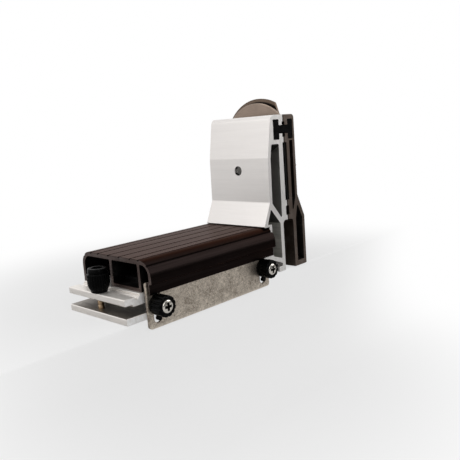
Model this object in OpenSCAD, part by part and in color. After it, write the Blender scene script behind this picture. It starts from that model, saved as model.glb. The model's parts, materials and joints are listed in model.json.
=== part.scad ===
// Hand saw guide: a ribbed grip extrusion carries a two-cheek tower with a guiding slit,
// a side fence with two thumb knobs and a small screw clamp at the free end of the grip.
// X runs across the slit from the clamp end to the tower, Y along the slit away from the fence,
// Z up. The slit plane is X = 0, the middle of the tower is Y = 0 and the sole is Z = 0.

/* [Tower] */
// Height of the tower above the sole
tower_h = 80; // [70:1:95]
// Length of the tower along the slit
tower_l = 41; // [34:0.5:50]
// Width of the slit at rest
slit_w = 0.7; // [0.5:0.05:1.2]
// Outer face of the inner cheek at the top, from the slit plane
cheek_top_t = 10.1; // [9.6:0.1:12]
// Outer face of the inner cheek at its upper fold
cheek_fold_t = 13.6; // [12:0.1:15]
// Distance of the upper fold below the top of the tower
fold_drop = 21; // [18:0.5:25]
// Outer face of the inner cheek at its lower fold
cheek_low_t = 14.2; // [12:0.1:16]
// Height of the lower fold
cheek_low_z = 36.7; // [34:0.1:40]
// Outer face of the inner cheek where its skirt lands on the grip
skirt_t = 19.7; // [17:0.1:22]
// Thickness of the cheek's outer wall
cheek_wall = 2; // [1.6:0.1:2.4]
// Outer face of the outer cheek, from the slit plane
outer_t = 8.9; // [8.7:0.1:10]
// Outer face of the outer cheek's wide foot
outer_foot_t = 14.2; // [12:0.1:18]
// Width of each sole strip
sole_w = 5.3; // [4:0.1:7]
// Diameter of the access hole in the inner cheek
access_d = 4.9; // [4:0.1:6]
// Height of the access hole
access_z = 52.8; // [48:0.1:56]

/* [Grip] */
// Length of the grip extrusion
grip_l = 80; // [70:1:95]
// Width of the grip extrusion
grip_w = 49.2; // [46:0.1:52]
// Underside of the grip above the sole
grip_z = 11; // [10.9:0.05:11.3]
// Height of the grip extrusion
grip_h = 13.7; // [13:0.1:15]
// Radius of the grip's upper edge on the fence side
grip_near_r = 7; // [6:0.1:7.2]
// Radius of the grip's upper edge on the far side
grip_far_r = 6; // [4:0.1:6.5]
// Number of fine grooves along the top
groove_n = 4; // [3:1:5]
// Distance between two grooves
groove_pitch = 7.7; // [5:0.1:8]
// Width of a groove
groove_w = 0.7; // [0.5:0.1:1]
// Depth of a groove
groove_h = 0.5; // [0.3:0.1:0.8]

/* [End clamp] */
// Distance of the upper bar from the grip's far face
bar_inset = 1.4; // [1:0.1:2]
// Front edge of the upper bar beyond the grip's end
bar_front = 9.3; // [8:0.1:11]
// Thickness of the clamp bars
bar_t = 2.9; // [2.5:0.1:3.4]
// Radius of the clamp knob
knob_r = 4.8; // [4:0.1:5.2]
// Height of the clamp knob
knob_h = 10.6; // [9:0.1:13]

/* [Fence] */
// Thickness of the fence plate
fence_t = 1.2; // [1:0.1:1.3]
// Depth of the fence below the sole
fence_drop = 4.4; // [3.5:0.1:6]
// Distance of the left fence knob from the free end of the grip
left_knob_in = 4.2; // [3:0.1:4.4]
// Distance of the right fence knob from the tower end of the grip
right_knob_in = 8.2; // [8:0.1:12]
// Radius of the fence knobs
fence_knob_r = 4.6; // [4:0.1:4.8]

/* [Gap wheel] */
// Radius of the wheel's front disc
wheel_r = 23.2; // [20:0.1:23.4]
// Radius of the wheel's rear flange
wheel_rear_r = 25.6; // [23.6:0.1:25.8]
// Distance of the wheel's axis below the top of the tower
wheel_drop = 15.8; // [15.6:0.1:16]
// Distance of the wheel's axis from the middle of the tower
wheel_y = 5.9; // [4:0.1:7]

/* [Hidden] */
$fn = 20;
arc_steps = 6;
overrun = 1;
run_clear = 0.05;
fit_clear = 0.2;

post_t = 15.6;
grip_gap = 0.3;
grip_end_x = -post_t - grip_gap;
grip_start_x = grip_end_x - grip_l;
grip_mid_y = 0.6;
grip_near_y = grip_mid_y - grip_w / 2;
grip_far_y = grip_mid_y + grip_w / 2;
grip_top_z = grip_z + grip_h;
web_far_y = 2.1;
web_near_inset = 6.9;
web_near_y = grip_near_y + web_near_inset;
web_near_t = 1.7;
nut_plate_room = 0.25;
nut_plate_l = web_far_y - web_near_y - web_near_t - 2 * nut_plate_room;
nut_plate_y = (web_far_y + web_near_y + web_near_t) / 2;
fence_inset = 4.1;
fence_in_y = grip_near_y + fence_inset;
left_x = grip_start_x + left_knob_in;
right_x = grip_end_x - right_knob_in;
block_w = 5;
block_t = 2.2;
block_gap = 0.1;
block_room = 0.9;

slit_half = slit_w / 2;
liner_t = 1;
recess_t = slit_half + liner_t;
core_t = 4.5;
sole_in = 4.2;
post_in_t = 6.6;
lip_z = grip_z + grip_h;
web_low_z = 4.2;
web_high_z = 6.2;
tongue_t = 2.4;
block_side_room = 0.4;
tongue_short = -right_x - block_w / 2 - block_side_room;
tongue_long = 30;
tongue_room = 4.9;
tongue_half = -fence_in_y - tongue_room;
sole_t = 2.7;
pad_low_z = 26.2;
relief_r = 2;
oval_low_z = 28.6;
oval_high_z = 33.4;
pad_high_z = 36.4;
cheek_fold_z = tower_h - fold_drop;
cheek_cap_r = 3;
wheel_z = tower_h - wheel_drop;
key_cap_t = 2.3;
key_h = 10.1;
key_web_t = 1.6;
web_top_z = tower_h - key_cap_t - key_h;
recess_top_z = web_top_z - key_web_t;
cheek_lean = (cheek_fold_t - cheek_top_t) / fold_drop;
cheek_chamber_top_t = cheek_top_t + cheek_lean * (tower_h - recess_top_z);
key_bar = 4.7;
key_in = 3.6;
key_neck = 4.2;
key_z = web_top_z + key_h / 2;
neck_relief = 1.1;
neck_relief_h = 7.6;
outer_key_bar = 4.1;
outer_key_in = 3.4;
chamber_r = 0.9;
edge_r = 1.9;
small_r = 0.5;
brace_top_z = 35.6;
brace_tip_z = 27.4;
brace_drop = 2.2;
web_rise = 3;
skirt_in_t = 16.8;
outer_web_t = 0.8;
shoulder_z = wheel_z - wheel_rear_r - small_r;
shoulder_drop = 4.7;

liner_l = tower_l - 1;
liner_low_z = pad_high_z + fit_clear;
liner_high_z = recess_top_z - fit_clear;
liner_screw_r = 1.2;
liner_head_r = 2.1;
liner_head_h = 1.3;
liner_boss_r = 2;
liner_boss_h = 1.4;

spindle_r = 1.45;
shank_r = 1.9;
collar_r = 2.4;
collar_t = 1.1;
nut_boss_r = 2.3;
outer_recess_t = recess_t + 0.5;
outer_core_t = 4.2;
outer_wall = 1.9;
nut_boss_end = 5.3;
spindle_tip = 1.7;
wheel_face = outer_t + 0.6;
wheel_disc_t = 1.1;
wheel_neck_t = 1.9;
wheel_flange_t = 1.4;
wheel_neck_r = 20.5;
wheel_hub_r = 6;
wheel_boss_r = 5;
wheel_boss_h = 0.55;
wheel_dish_r = 17;
wheel_dish_t = 2.4;
wheel_bevel = 0.3;
wheel_flat = 18.2;
wheel_flat_lean = 18.6;
wheel_back = wheel_face + wheel_disc_t + wheel_neck_t + wheel_flange_t;
spindle_head_r = 4;
spindle_head_h = 1.6;
spindle_slot_w = 1;
spindle_slot_h = 0.8;

key_screw_r = 1;
key_screw_head_r = 1.8;
key_screw_head_h = 1.1;
key_screw_l = 4.6;
key_screw_y = 14;
key_screw_inner_x = 5.95;
key_screw_outer_x = 5.4;

grip_wall = 1.8;
grip_roof = 2;
near_in_r = 4.2;
grip_floor = 1.6;
web_far_t = 1.9;
ledge_z = 14.9;
ledge_in = 1.6;
skirt_wall = 0.9;
skirt_z = 10.5;
hook_z = 8.9;
hook_t = 1.1;
foot_in = 4.4;
foot_in_y = grip_far_y - foot_in;
foot_t = 1.4;
edge_groove_y = 17;
side_groove_w = 0.7;
side_groove_h = 0.5;

bar_top_z = 10.1;
bar_step_z = 6.2;
bar_step_x = 5.4;
bar_back = 14;
bar_notch_x = 1.1;
bar_notch_y = fence_in_y + block_gap + block_t + block_room;
bar_land_x = 1.4;
bar_groove_r = 1.1;
bar_groove_x = 3;
bar_far_y = grip_far_y - bar_inset;
bar_fence_gap = 2.7;
bar_l = bar_far_y - fence_in_y - bar_fence_gap;
bar_mid_y = bar_far_y - bar_l / 2;
low_bar_front = 10.7;
low_bar_shift = 2.3;
low_mid_y = bar_mid_y - low_bar_shift;
clamp_x = grip_start_x - 6.5;
clamp_y = 3.7;
stud_r = 1.45;
stud_low_z = 0.3;
stud_high_z = 18.6;
clip_r = 2.6;
clip_t = 0.7;
clip_bore_r = 2.8;
clip_bore_h = 1.2;
knob_low_r = 3.4;
knob_top_r = 3.45;
knob_dish_r = 2.4;
knob_dish_h = 0.8;
knob_foot_h = 0.9;
knob_taper_h = 3;
knob_body_h = 4.3;
knob_neck_h = 0.4;
knob_neck_r = 4;
knob_rib_n = 18;
knob_rib_r = 0.42;
pin_r = 1;
pin_x = grip_start_x + 4.6;
pin_inset = 5.5;
pin_y = bar_l / 2 - pin_inset;
pin_low_z = 0.4;
pin_high_z = 9.8;
bar_screw_x = grip_start_x + 9.4;
bar_screw_inset = 2.5;
bar_screw_far_y = nut_plate_y + nut_plate_l / 2 - bar_screw_inset;
bar_screw_near_y = nut_plate_y - nut_plate_l / 2 + bar_screw_inset;
m3_r = 1.45;
m3_head_r = 2.6;
m3_head_h = 1.5;
nut_plate_t = 2;
nut_plate_w = 7;
hex_r = 1.3;
hex_h = 0.9;
foot_screw_in = 4.6;
foot_screw_x = foot_screw_in - tongue_long;

fence_out_y = fence_in_y - fence_t;
fence_start_x = grip_start_x - 0.7;
fence_end_in = 4.8;
fence_end_x = right_x + fence_end_in;
fence_flat_z = 12.8;
bead_r = 1.5;
bead_bore_r = bead_r - fence_t;
bead_z = fence_flat_z + bead_r;
slot_half = 2.2;
slot_low_z = -2.4;
slot_high_z = 10.4;
fence_corner_r = 1.5;
notch_z = 7.9;
notch_in = 2.1;
notch_x = right_x + notch_in;
knob_z = 5.6;
washer_t = 1.1;
washer_r = 4.4;
washer_nub_z = -0.2;
washer_nub_r = 1.05;
washer_key_w = 4.2;
washer_key_h = 4;
washer_key_t = 1.1;
knob_body_t = 5.9;
knob_round_r = 0.9;
knob_flute_n = 12;
knob_flute_r = 0.8;
knob_flute_in = 0.45;
m4_r = 1.95;
cross_head_r = 3;
cross_head_h = 1.5;
cross_bore_h = 1.3;
cross_w = 0.95;
cross_l = 3.4;
cross_h = 1;
screw_out = 0.3;
screw_end_y = fence_in_y + block_gap + block_t + screw_out;
block_low_z = 1.2;
block_high_z = 9.2;

function unit(v) = v / norm(v);
function turn(a, b) = (b - a > 180) ? b - a - 360 : (b - a < -180) ? b - a + 360 : b - a;

// Points of the arc of radius r that rounds the corner b between a and c
function corner_arc(a, b, c, r) =
    let (u = unit(a - b), v = unit(c - b), half_angle = acos(u * v) / 2,
        mid = b + unit(u + v) * r / sin(half_angle),
        from = b + u * r / tan(half_angle) - mid, to = b + v * r / tan(half_angle) - mid,
        start = atan2(from[1], from[0]), sweep = turn(start, atan2(to[1], to[0])))
    [for (i = [0:arc_steps]) mid + r * [cos(start + sweep * i / arc_steps),
        sin(start + sweep * i / arc_steps)]];

// Outline whose corners [x, y, r] are rounded by r, sharp where r is 0
function rounded(corners) =
    let (n = len(corners), pt = [for (c = corners) [c[0], c[1]]])
    [for (i = [0:n - 1]) each (corners[i][2] == 0 ? [pt[i]]
        : corner_arc(pt[(i + n - 1) % n], pt[i], pt[(i + 1) % n], corners[i][2]))];

module along_y(l, y = 0) {
    translate([0, y + l / 2, 0]) rotate([90, 0, 0]) linear_extrude(l) children();
}

module along_x(l, x) {
    translate([x, 0, 0]) rotate([90, 0, 90]) linear_extrude(l) children();
}

module rod_x(r, x_low, x_high, y, z) {
    translate([x_low, y, z]) rotate([0, 90, 0]) cylinder(r = r, h = x_high - x_low);
}

module rod_y(r, x, y_low, y_high, z) {
    translate([x, y_low, z]) rotate([-90, 0, 0]) cylinder(r = r, h = y_high - y_low);
}

module rod_z(r, x, y, z_low, z_high) {
    translate([x, y, z_low]) cylinder(r = r, h = z_high - z_low);
}

// Slit face of a cheek: pads that run along the slit, with recesses between them
module slit_recesses(depth) {
    polygon([[-overrun, pad_high_z], [depth, pad_high_z], [depth, recess_top_z],
        [-overrun, recess_top_z]]);
    polygon(rounded([[-overrun, oval_low_z, 0], [recess_t, oval_low_z, small_r],
        [recess_t, oval_high_z, small_r], [-overrun, oval_high_z, 0]]));
    polygon(rounded([[-overrun, -overrun, 0], [sole_in, -overrun, 0],
        [sole_in, pad_low_z, relief_r], [-overrun, pad_low_z, 0]]));
    polygon([[-overrun, key_z - neck_relief_h / 2], [neck_relief, key_z - neck_relief_h / 2],
        [neck_relief, key_z + neck_relief_h / 2], [-overrun, key_z + neck_relief_h / 2]]);
}

// Undercut groove that takes one bar of the bridge key
module key_groove(inner, bar) {
    polygon(rounded([[inner, web_top_z, small_r], [inner + bar, web_top_z, small_r],
        [inner + bar, web_top_z + key_h, small_r], [inner, web_top_z + key_h, small_r]]));
    polygon([[-overrun, key_z - key_neck / 2], [inner + overrun, key_z - key_neck / 2],
        [inner + overrun, key_z + key_neck / 2], [-overrun, key_z + key_neck / 2]]);
}

// Section of the inner cheek, with X measured away from the slit
module inner_section() {
    difference() {
        polygon(rounded([[slit_half, tower_h, 0], [slit_half, 0, 0],
            [sole_in + sole_w, 0, small_r], [sole_in + sole_w, sole_t, small_r],
            [post_in_t, sole_t, 0], [post_in_t, web_low_z, 0],
            [post_t + cheek_wall, grip_z - tongue_t, small_r],
            [tongue_long, grip_z - tongue_t, small_r], [tongue_long, grip_z, 0],
            [post_t, grip_z, 0], [post_t, lip_z, 0], [skirt_t, lip_z, small_r],
            [cheek_low_t, cheek_low_z, edge_r], [cheek_fold_t, cheek_fold_z, edge_r],
            [cheek_top_t, tower_h, cheek_cap_r]]));
        slit_recesses(recess_t);
        key_groove(key_in, key_bar);
        polygon(rounded([[core_t, recess_top_z - small_r, chamber_r],
            [core_t + small_r, brace_tip_z, small_r],
            [cheek_low_t - cheek_wall, brace_top_z + small_r, chamber_r],
            [cheek_fold_t - cheek_wall, cheek_fold_z, edge_r],
            [cheek_chamber_top_t - cheek_wall, recess_top_z - small_r, chamber_r]]));
        polygon(rounded([[post_in_t, brace_tip_z - brace_drop, small_r],
            [post_in_t, web_high_z + small_r, small_r],
            [post_t - cheek_wall, web_high_z + web_rise, small_r],
            [post_t - cheek_wall, lip_z + cheek_wall / 2, small_r],
            [skirt_in_t, lip_z + cheek_wall / 2, small_r],
            [cheek_low_t - small_r, brace_top_z - brace_drop, small_r]]));
    }
}

// Section of the outer cheek, with X measured away from the slit
module outer_section() {
    difference() {
        polygon(rounded([[slit_half, tower_h, 0], [slit_half, 0, 0],
            [outer_foot_t, 0, small_r], [outer_foot_t, pad_low_z, edge_r],
            [outer_t, shoulder_z, edge_r], [outer_t, tower_h, edge_r]]));
        slit_recesses(outer_recess_t);
        key_groove(outer_key_in, outer_key_bar);
        polygon(rounded([[outer_core_t, web_top_z - outer_web_t, small_r],
            [outer_core_t, pad_low_z + brace_drop, small_r],
            [outer_t - outer_wall, pad_high_z, small_r],
            [outer_t - outer_wall, web_top_z - outer_web_t, small_r]]));
        polygon(rounded([[post_in_t, sole_t, small_r],
            [outer_foot_t - cheek_wall, sole_t, small_r],
            [outer_foot_t - cheek_wall, pad_low_z - small_r, chamber_r],
            [outer_t - small_r, shoulder_z - shoulder_drop, small_r],
            [post_in_t, pad_low_z - small_r, small_r]]));
    }
}

module inner_cheek() {
    color([0.86, 0.86, 0.85]) difference() {
        mirror([1, 0, 0]) along_y(tower_l) inner_section();
        for (side = [-1, 1])
            translate([-tongue_long - overrun,
                side > 0 ? tongue_half : -tongue_half - tower_l, grip_z - tongue_t - overrun])
                cube([tongue_long + overrun - tongue_short, tower_l, tongue_t + overrun]);
        rod_x(access_d / 2, -cheek_fold_t - overrun, -core_t - cheek_wall, 0, access_z);
        rod_x(liner_boss_r, -recess_t - liner_boss_h - fit_clear, 0, 0, access_z);
        rod_x(liner_head_r + fit_clear, -core_t - overrun, -core_t, 0, access_z);
        rod_x(liner_screw_r + run_clear, -core_t - overrun, 0, 0, access_z);
        for (y = foot_screw_ys()) rod_z(m3_r + fit_clear, foot_screw_x, y, 0, grip_z);
        for (y = [-key_screw_y, key_screw_y]) key_screw_hole(-key_screw_inner_x, y);
    }
}

module outer_cheek() {
    color([0.36, 0.3, 0.26]) difference() {
        along_y(tower_l) outer_section();
        rod_x(shank_r + run_clear, outer_t - outer_wall - overrun, outer_t + overrun,
            wheel_y, wheel_z);
        rod_x(nut_boss_r + run_clear, 0, outer_core_t + overrun, wheel_y, wheel_z);
        for (y = [-key_screw_y, key_screw_y]) key_screw_hole(key_screw_outer_x, y);
    }
}

module bridge_key() {
    low = key_in + fit_clear;
    low_out = outer_key_in + fit_clear;
    color([0.05, 0.05, 0.05]) difference() {
        along_y(tower_l - fit_clear) {
            polygon(rounded([
                [-low - key_bar + 2 * fit_clear, web_top_z + fit_clear, small_r],
                [-low, web_top_z + fit_clear, small_r],
                [-low, key_z - key_neck / 2 + fit_clear, 0],
                [low_out, key_z - key_neck / 2 + fit_clear, 0],
                [low_out, web_top_z + fit_clear, small_r],
                [low_out + outer_key_bar - 2 * fit_clear, web_top_z + fit_clear, small_r],
                [low_out + outer_key_bar - 2 * fit_clear, web_top_z + key_h - fit_clear, small_r],
                [low_out, web_top_z + key_h - fit_clear, small_r],
                [low_out, key_z + key_neck / 2 - fit_clear, 0],
                [-low, key_z + key_neck / 2 - fit_clear, 0],
                [-low, web_top_z + key_h - fit_clear, small_r],
                [-low - key_bar + 2 * fit_clear, web_top_z + key_h - fit_clear, small_r]]));
        }
        for (y = [-key_screw_y, key_screw_y], x = [-key_screw_inner_x, key_screw_outer_x])
            rod_z(key_screw_r, x, y, tower_h - key_screw_l - fit_clear, tower_h);
    }
}

module key_screw_hole(x, y) {
    rod_z(key_screw_r + run_clear, x, y, tower_h - key_screw_l, tower_h + overrun);
    translate([x, y, tower_h - key_screw_head_h]) cylinder(r = key_screw_head_r, h = tower_h);
}

module key_screw(x, y) {
    color([0.75, 0.75, 0.76]) difference() {
        union() {
            rod_z(key_screw_r, x, y, tower_h - key_screw_l, tower_h - key_screw_head_h);
            rod_z(key_screw_head_r - run_clear, x, y, tower_h - key_screw_head_h,
                tower_h - fit_clear);
        }
        translate([x, y, tower_h - hex_h]) cylinder(r = key_screw_r, h = tower_h, $fn = 6);
    }
}

module inner_liner() {
    color([0.06, 0.06, 0.06]) difference() {
        union() {
            translate([-recess_t, -liner_l / 2, liner_low_z])
                cube([liner_t, liner_l, liner_high_z - liner_low_z]);
            rod_x(liner_boss_r - run_clear, -recess_t - liner_boss_h, -recess_t, 0, access_z);
        }
        rod_x(liner_screw_r, -recess_t - liner_boss_h - overrun, -recess_t + fit_clear,
            0, access_z);
    }
}

module liner_screw() {
    color([0.7, 0.7, 0.72]) difference() {
        union() {
            rod_x(liner_head_r, -core_t - liner_head_h, -core_t, 0, access_z);
            rod_x(liner_screw_r, -core_t, -recess_t, 0, access_z);
        }
        translate([-core_t - liner_head_h - overrun, 0, access_z]) rotate([0, 90, 0])
            cylinder(r = key_screw_r, h = overrun + hex_h, $fn = 6);
    }
}

module outer_liner() {
    color([0.06, 0.06, 0.06]) difference() {
        union() {
            translate([slit_half, -liner_l / 2, liner_low_z])
                cube([liner_t, liner_l, liner_high_z - liner_low_z]);
            rod_x(nut_boss_r, recess_t, nut_boss_end, wheel_y, wheel_z);
        }
        rod_x(spindle_r + run_clear, slit_half + liner_t / 2, nut_boss_end + overrun,
            wheel_y, wheel_z);
    }
}

module gap_wheel() {
    neck_x = wheel_disc_t;
    flange_x = neck_x + wheel_neck_t;
    back_x = flange_x + wheel_flange_t;
    color([0.55, 0.5, 0.45]) translate([wheel_face, wheel_y, wheel_z]) rotate([0, 90, 0])
        difference() {
            rotate_extrude($fn = 48) polygon([[shank_r, -wheel_boss_h], [wheel_boss_r, -wheel_boss_h],
                [wheel_boss_r, 0], [wheel_r - wheel_bevel, 0],
                [wheel_r, wheel_bevel], [wheel_r, neck_x], [wheel_neck_r, neck_x],
                [wheel_neck_r, flange_x], [wheel_rear_r, flange_x],
                [wheel_rear_r, back_x - wheel_bevel], [wheel_rear_r - wheel_bevel, back_x],
                [wheel_dish_r, back_x], [wheel_dish_r - overrun, back_x - wheel_dish_t],
                [wheel_hub_r, back_x - wheel_dish_t], [wheel_hub_r, back_x], [shank_r, back_x]]);
            rotate(-wheel_flat_lean)
                translate([-wheel_rear_r, -wheel_rear_r - wheel_flat, flange_x - fit_clear])
                cube([2 * wheel_rear_r, wheel_rear_r, back_x]);
        }
}

module gap_spindle() {
    color([0.7, 0.7, 0.7]) difference() {
        union() {
            rod_x(spindle_r, spindle_tip, outer_t - outer_wall - collar_t - run_clear,
                wheel_y, wheel_z);
            rod_x(spindle_r, outer_t - outer_wall - collar_t - run_clear,
                outer_t - outer_wall, wheel_y, wheel_z);
            rod_x(shank_r, outer_t - outer_wall, wheel_back, wheel_y, wheel_z);
            rod_x(spindle_head_r, wheel_back, wheel_back + spindle_head_h, wheel_y, wheel_z);
        }
        translate([wheel_back + spindle_head_h - spindle_slot_h,
            wheel_y - spindle_head_r - overrun, wheel_z - spindle_slot_w / 2])
            cube([spindle_head_h, 2 * (spindle_head_r + overrun), spindle_slot_w]);
    }
}

module gap_collar() {
    low = outer_t - outer_wall - collar_t - run_clear;
    color([0.3, 0.3, 0.3]) difference() {
        rod_x(collar_r, low, low + collar_t, wheel_y, wheel_z);
        rod_x(spindle_r, low - overrun, low + collar_t + overrun, wheel_y, wheel_z);
    }
}

// Section of the grip in Y and Z, open below on both sides of its middle chamber
module grip_section() {
    difference() {
        polygon(rounded([[grip_near_y, ledge_z, small_r], [grip_near_y, grip_top_z, grip_near_r],
            [grip_far_y, grip_top_z, grip_far_r], [grip_far_y, hook_z, 0],
            [grip_far_y - hook_t, hook_z, 0], [grip_far_y - hook_t, grip_z, 0],
            [foot_in_y, grip_z, small_r], [foot_in_y, grip_z + foot_t, small_r],
            [grip_far_y - grip_wall, grip_z + foot_t, small_r],
            [grip_far_y - grip_wall, grip_top_z - grip_roof, grip_far_r - grip_wall],
            [web_far_y + web_far_t, grip_top_z - grip_roof, small_r],
            [web_far_y + web_far_t, grip_z, 0], [web_near_y, grip_z, 0],
            [web_near_y, grip_top_z - grip_roof, small_r],
            [grip_near_y + grip_wall, grip_top_z - grip_roof, near_in_r],
            [grip_near_y + grip_wall, ledge_z + skirt_wall, small_r],
            [grip_near_y + ledge_in + skirt_wall, ledge_z + skirt_wall, 0],
            [grip_near_y + ledge_in + skirt_wall, skirt_z, 0],
            [grip_near_y + ledge_in, skirt_z, 0], [grip_near_y + ledge_in, ledge_z, small_r]]));
        polygon(rounded([[web_near_y + web_near_t, grip_z + grip_floor, small_r],
            [web_far_y, grip_z + grip_floor, small_r],
            [web_far_y, grip_top_z - grip_roof, small_r],
            [web_near_y + web_near_t, grip_top_z - grip_roof, small_r]]));
        for (i = [0:groove_n - 1]) top_groove((i - (groove_n - 1) / 2) * groove_pitch);
        for (side = [-1, 1]) top_groove(side * edge_groove_y);
        side_groove(1, grip_far_r);
        side_groove(-1, grip_near_r);
    }
}

module top_groove(y) {
    translate([grip_mid_y + y - groove_w / 2, grip_top_z - groove_h])
        square([groove_w, groove_h + overrun]);
}

// Groove halfway round an upper edge of radius r
module side_groove(side, r) {
    translate([grip_mid_y + side * (grip_w / 2 - r), grip_top_z - r])
        rotate(90 - side * 45) translate([r - side_groove_h, -side_groove_w / 2])
        square([side_groove_h + overrun, side_groove_w]);
}

module grip_extrusion() {
    color([0.2, 0.14, 0.12]) difference() {
        along_x(grip_l, grip_start_x) grip_section();
        for (y = [bar_screw_near_y, bar_screw_far_y])
            rod_z(m3_r + fit_clear, bar_screw_x, y, grip_z - overrun, grip_z + grip_floor + overrun);
        for (y = foot_screw_ys())
            rod_z(m3_r + fit_clear, foot_screw_x, y, grip_z - overrun,
                grip_z + grip_floor + overrun);
    }
}

function foot_screw_ys() = [nut_plate_y - nut_plate_l / 4, nut_plate_y + nut_plate_l / 4];

// Corner of a clamp bar that is cut away for the left block of the fence
module block_notch() {
    translate([grip_start_x + bar_notch_x, bar_notch_y - tower_l, -overrun])
        cube([tower_l, tower_l, tower_h]);
}

module upper_clamp_bar() {
    front = grip_start_x - bar_front;
    land = grip_start_x - bar_land_x;
    color([0.83, 0.83, 0.82]) difference() {
        along_y(bar_l, bar_mid_y) difference() {
            polygon(rounded([[front, bar_top_z - bar_t, small_r],
                [grip_start_x - bar_step_x, bar_top_z - bar_t, 0],
                [grip_start_x - bar_step_x + small_r, bar_step_z, 0],
                [grip_start_x + bar_back, bar_step_z, small_r],
                [grip_start_x + bar_back, grip_z, small_r], [land, grip_z, small_r],
                [land, bar_top_z, 0], [front, bar_top_z, small_r]]));
            translate([grip_start_x - bar_groove_x, bar_top_z]) circle(bar_groove_r);
        }
        rod_z(stud_r + run_clear, clamp_x, clamp_y, 0, tower_h);
        rod_z(clip_bore_r, clamp_x, clamp_y, 0, bar_top_z - bar_t + clip_bore_h);
        for (side = [-1, 1])
            rod_z(pin_r, pin_x, low_mid_y + side * pin_y, 0, pin_high_z);
        for (y = [bar_screw_near_y, bar_screw_far_y]) {
            rod_z(m3_r + fit_clear, bar_screw_x, y, 0, tower_h);
            rod_z(m3_head_r + fit_clear, bar_screw_x, y, 0, bar_step_z + m3_head_h);
        }
        block_notch();
    }
}

module lower_clamp_bar() {
    front = grip_start_x - low_bar_front;
    color([0.83, 0.83, 0.82]) difference() {
        along_y(bar_l, low_mid_y)
            polygon(rounded([[front, 0, small_r], [grip_start_x + bar_back, 0, small_r],
                [grip_start_x + bar_back, bar_t, small_r], [front, bar_t, small_r]]));
        rod_z(stud_r + run_clear, clamp_x, clamp_y, -overrun, bar_t + overrun);
        for (side = [-1, 1])
            rod_z(pin_r + run_clear, pin_x, low_mid_y + side * pin_y, -overrun, bar_t + overrun);
        block_notch();
    }
}

module clamp_knob() {
    body_z = knob_foot_h + knob_taper_h;
    neck_z = body_z + knob_body_h;
    color([0.04, 0.04, 0.04]) translate([clamp_x, clamp_y, bar_top_z + run_clear]) difference() {
        rotate_extrude() polygon(rounded([[0, 0, 0], [knob_low_r, 0, 0],
            [knob_low_r, knob_foot_h, 0], [knob_r, body_z, small_r], [knob_r, neck_z, small_r],
            [knob_neck_r, neck_z, 0], [knob_neck_r, neck_z + knob_neck_h, 0],
            [knob_top_r, knob_h, small_r], [knob_dish_r, knob_h, 0],
            [knob_dish_r, knob_h - knob_dish_h, 0], [0, knob_h - knob_dish_h, 0]]));
        for (i = [0:knob_rib_n - 1])
            rotate(i * 360 / knob_rib_n)
                rod_z(knob_rib_r, knob_r, 0, knob_foot_h + fit_clear, neck_z + run_clear, $fn = 14);
        rod_z(stud_r, 0, 0, -overrun, stud_high_z - bar_top_z);
    }
}

module clamp_stud() {
    color([0.72, 0.66, 0.5]) rod_z(stud_r, clamp_x, clamp_y, stud_low_z, stud_high_z);
}

module clamp_clip() {
    color([0.2, 0.2, 0.2]) difference() {
        rod_z(clip_r, clamp_x, clamp_y, bar_top_z - bar_t + run_clear,
            bar_top_z - bar_t + run_clear + clip_t);
        rod_z(stud_r, clamp_x, clamp_y, 0, tower_h);
    }
}

module guide_pin(side) {
    color([0.6, 0.6, 0.6])
        rod_z(pin_r, pin_x, low_mid_y + side * pin_y, pin_low_z, pin_high_z);
}

module nut_plate(x, ys) {
    color([0.6, 0.6, 0.6]) difference() {
        translate([x - nut_plate_w / 2, nut_plate_y - nut_plate_l / 2, grip_z + grip_floor])
            cube([nut_plate_w, nut_plate_l, nut_plate_t]);
        for (y = ys) rod_z(m3_r, x, y, 0, tower_h);
    }
}

module cap_screw(x, y, seat_z) {
    color([0.25, 0.25, 0.25]) difference() {
        union() {
            rod_z(m3_head_r, x, y, seat_z - m3_head_h, seat_z);
            rod_z(m3_r, x, y, seat_z, grip_z + grip_floor + nut_plate_t);
        }
        translate([x, y, seat_z - m3_head_h - overrun])
            cylinder(r = hex_r, h = overrun + hex_h, $fn = 6);
    }
}

module fence_plate() {
    flat_top_z = bead_z - bead_bore_r;
    color([0.68, 0.67, 0.64]) difference() {
        union() {
            along_y(fence_t, fence_in_y - fence_t / 2)
                polygon(rounded([[fence_start_x, -fence_drop, fence_corner_r],
                    [fence_end_x, -fence_drop, fence_corner_r], [fence_end_x, notch_z, small_r],
                    [notch_x, notch_z, small_r], [notch_x, flat_top_z, 0],
                    [fence_start_x, flat_top_z, 0]]));
            along_x(notch_x - fence_start_x, fence_start_x) fence_bead();
        }
        for (x = [left_x, right_x]) along_y(tower_l, fence_in_y) {
            translate([x - slot_half, slot_low_z + slot_half])
                square([2 * slot_half, slot_high_z - slot_low_z - slot_half]);
            translate([x, slot_low_z + slot_half]) circle(slot_half);
        }
    }
}

// Section of the rolled bead along the top of the fence plate, open towards the near side
module fence_bead() {
    difference() {
        translate([fence_out_y, bead_z]) circle(bead_r);
        translate([fence_out_y, bead_z]) circle(bead_bore_r);
        translate([fence_out_y - bead_r - overrun, bead_z - bead_r - overrun])
            square([bead_r + overrun, 2 * (bead_r + overrun)]);
    }
}

module fence_washer(x) {
    color([0.04, 0.04, 0.04]) difference() {
        union() {
            rod_y(washer_r, x, fence_out_y - washer_t, fence_out_y, knob_z);
            rod_y(washer_nub_r, x, fence_out_y - washer_t, fence_out_y + washer_key_t / 2,
                washer_nub_z);
            translate([x - washer_nub_r, fence_out_y - washer_t, washer_nub_z])
                cube([2 * washer_nub_r, washer_t, knob_z - washer_nub_z - m4_r - fit_clear]);
            translate([x - washer_key_w / 2, fence_out_y - run_clear, knob_z - washer_key_h / 2])
                cube([washer_key_w, washer_key_t + run_clear, washer_key_h]);
        }
        rod_y(m4_r + run_clear, x, fence_out_y - washer_t - overrun, 0, knob_z);
    }
}

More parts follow.
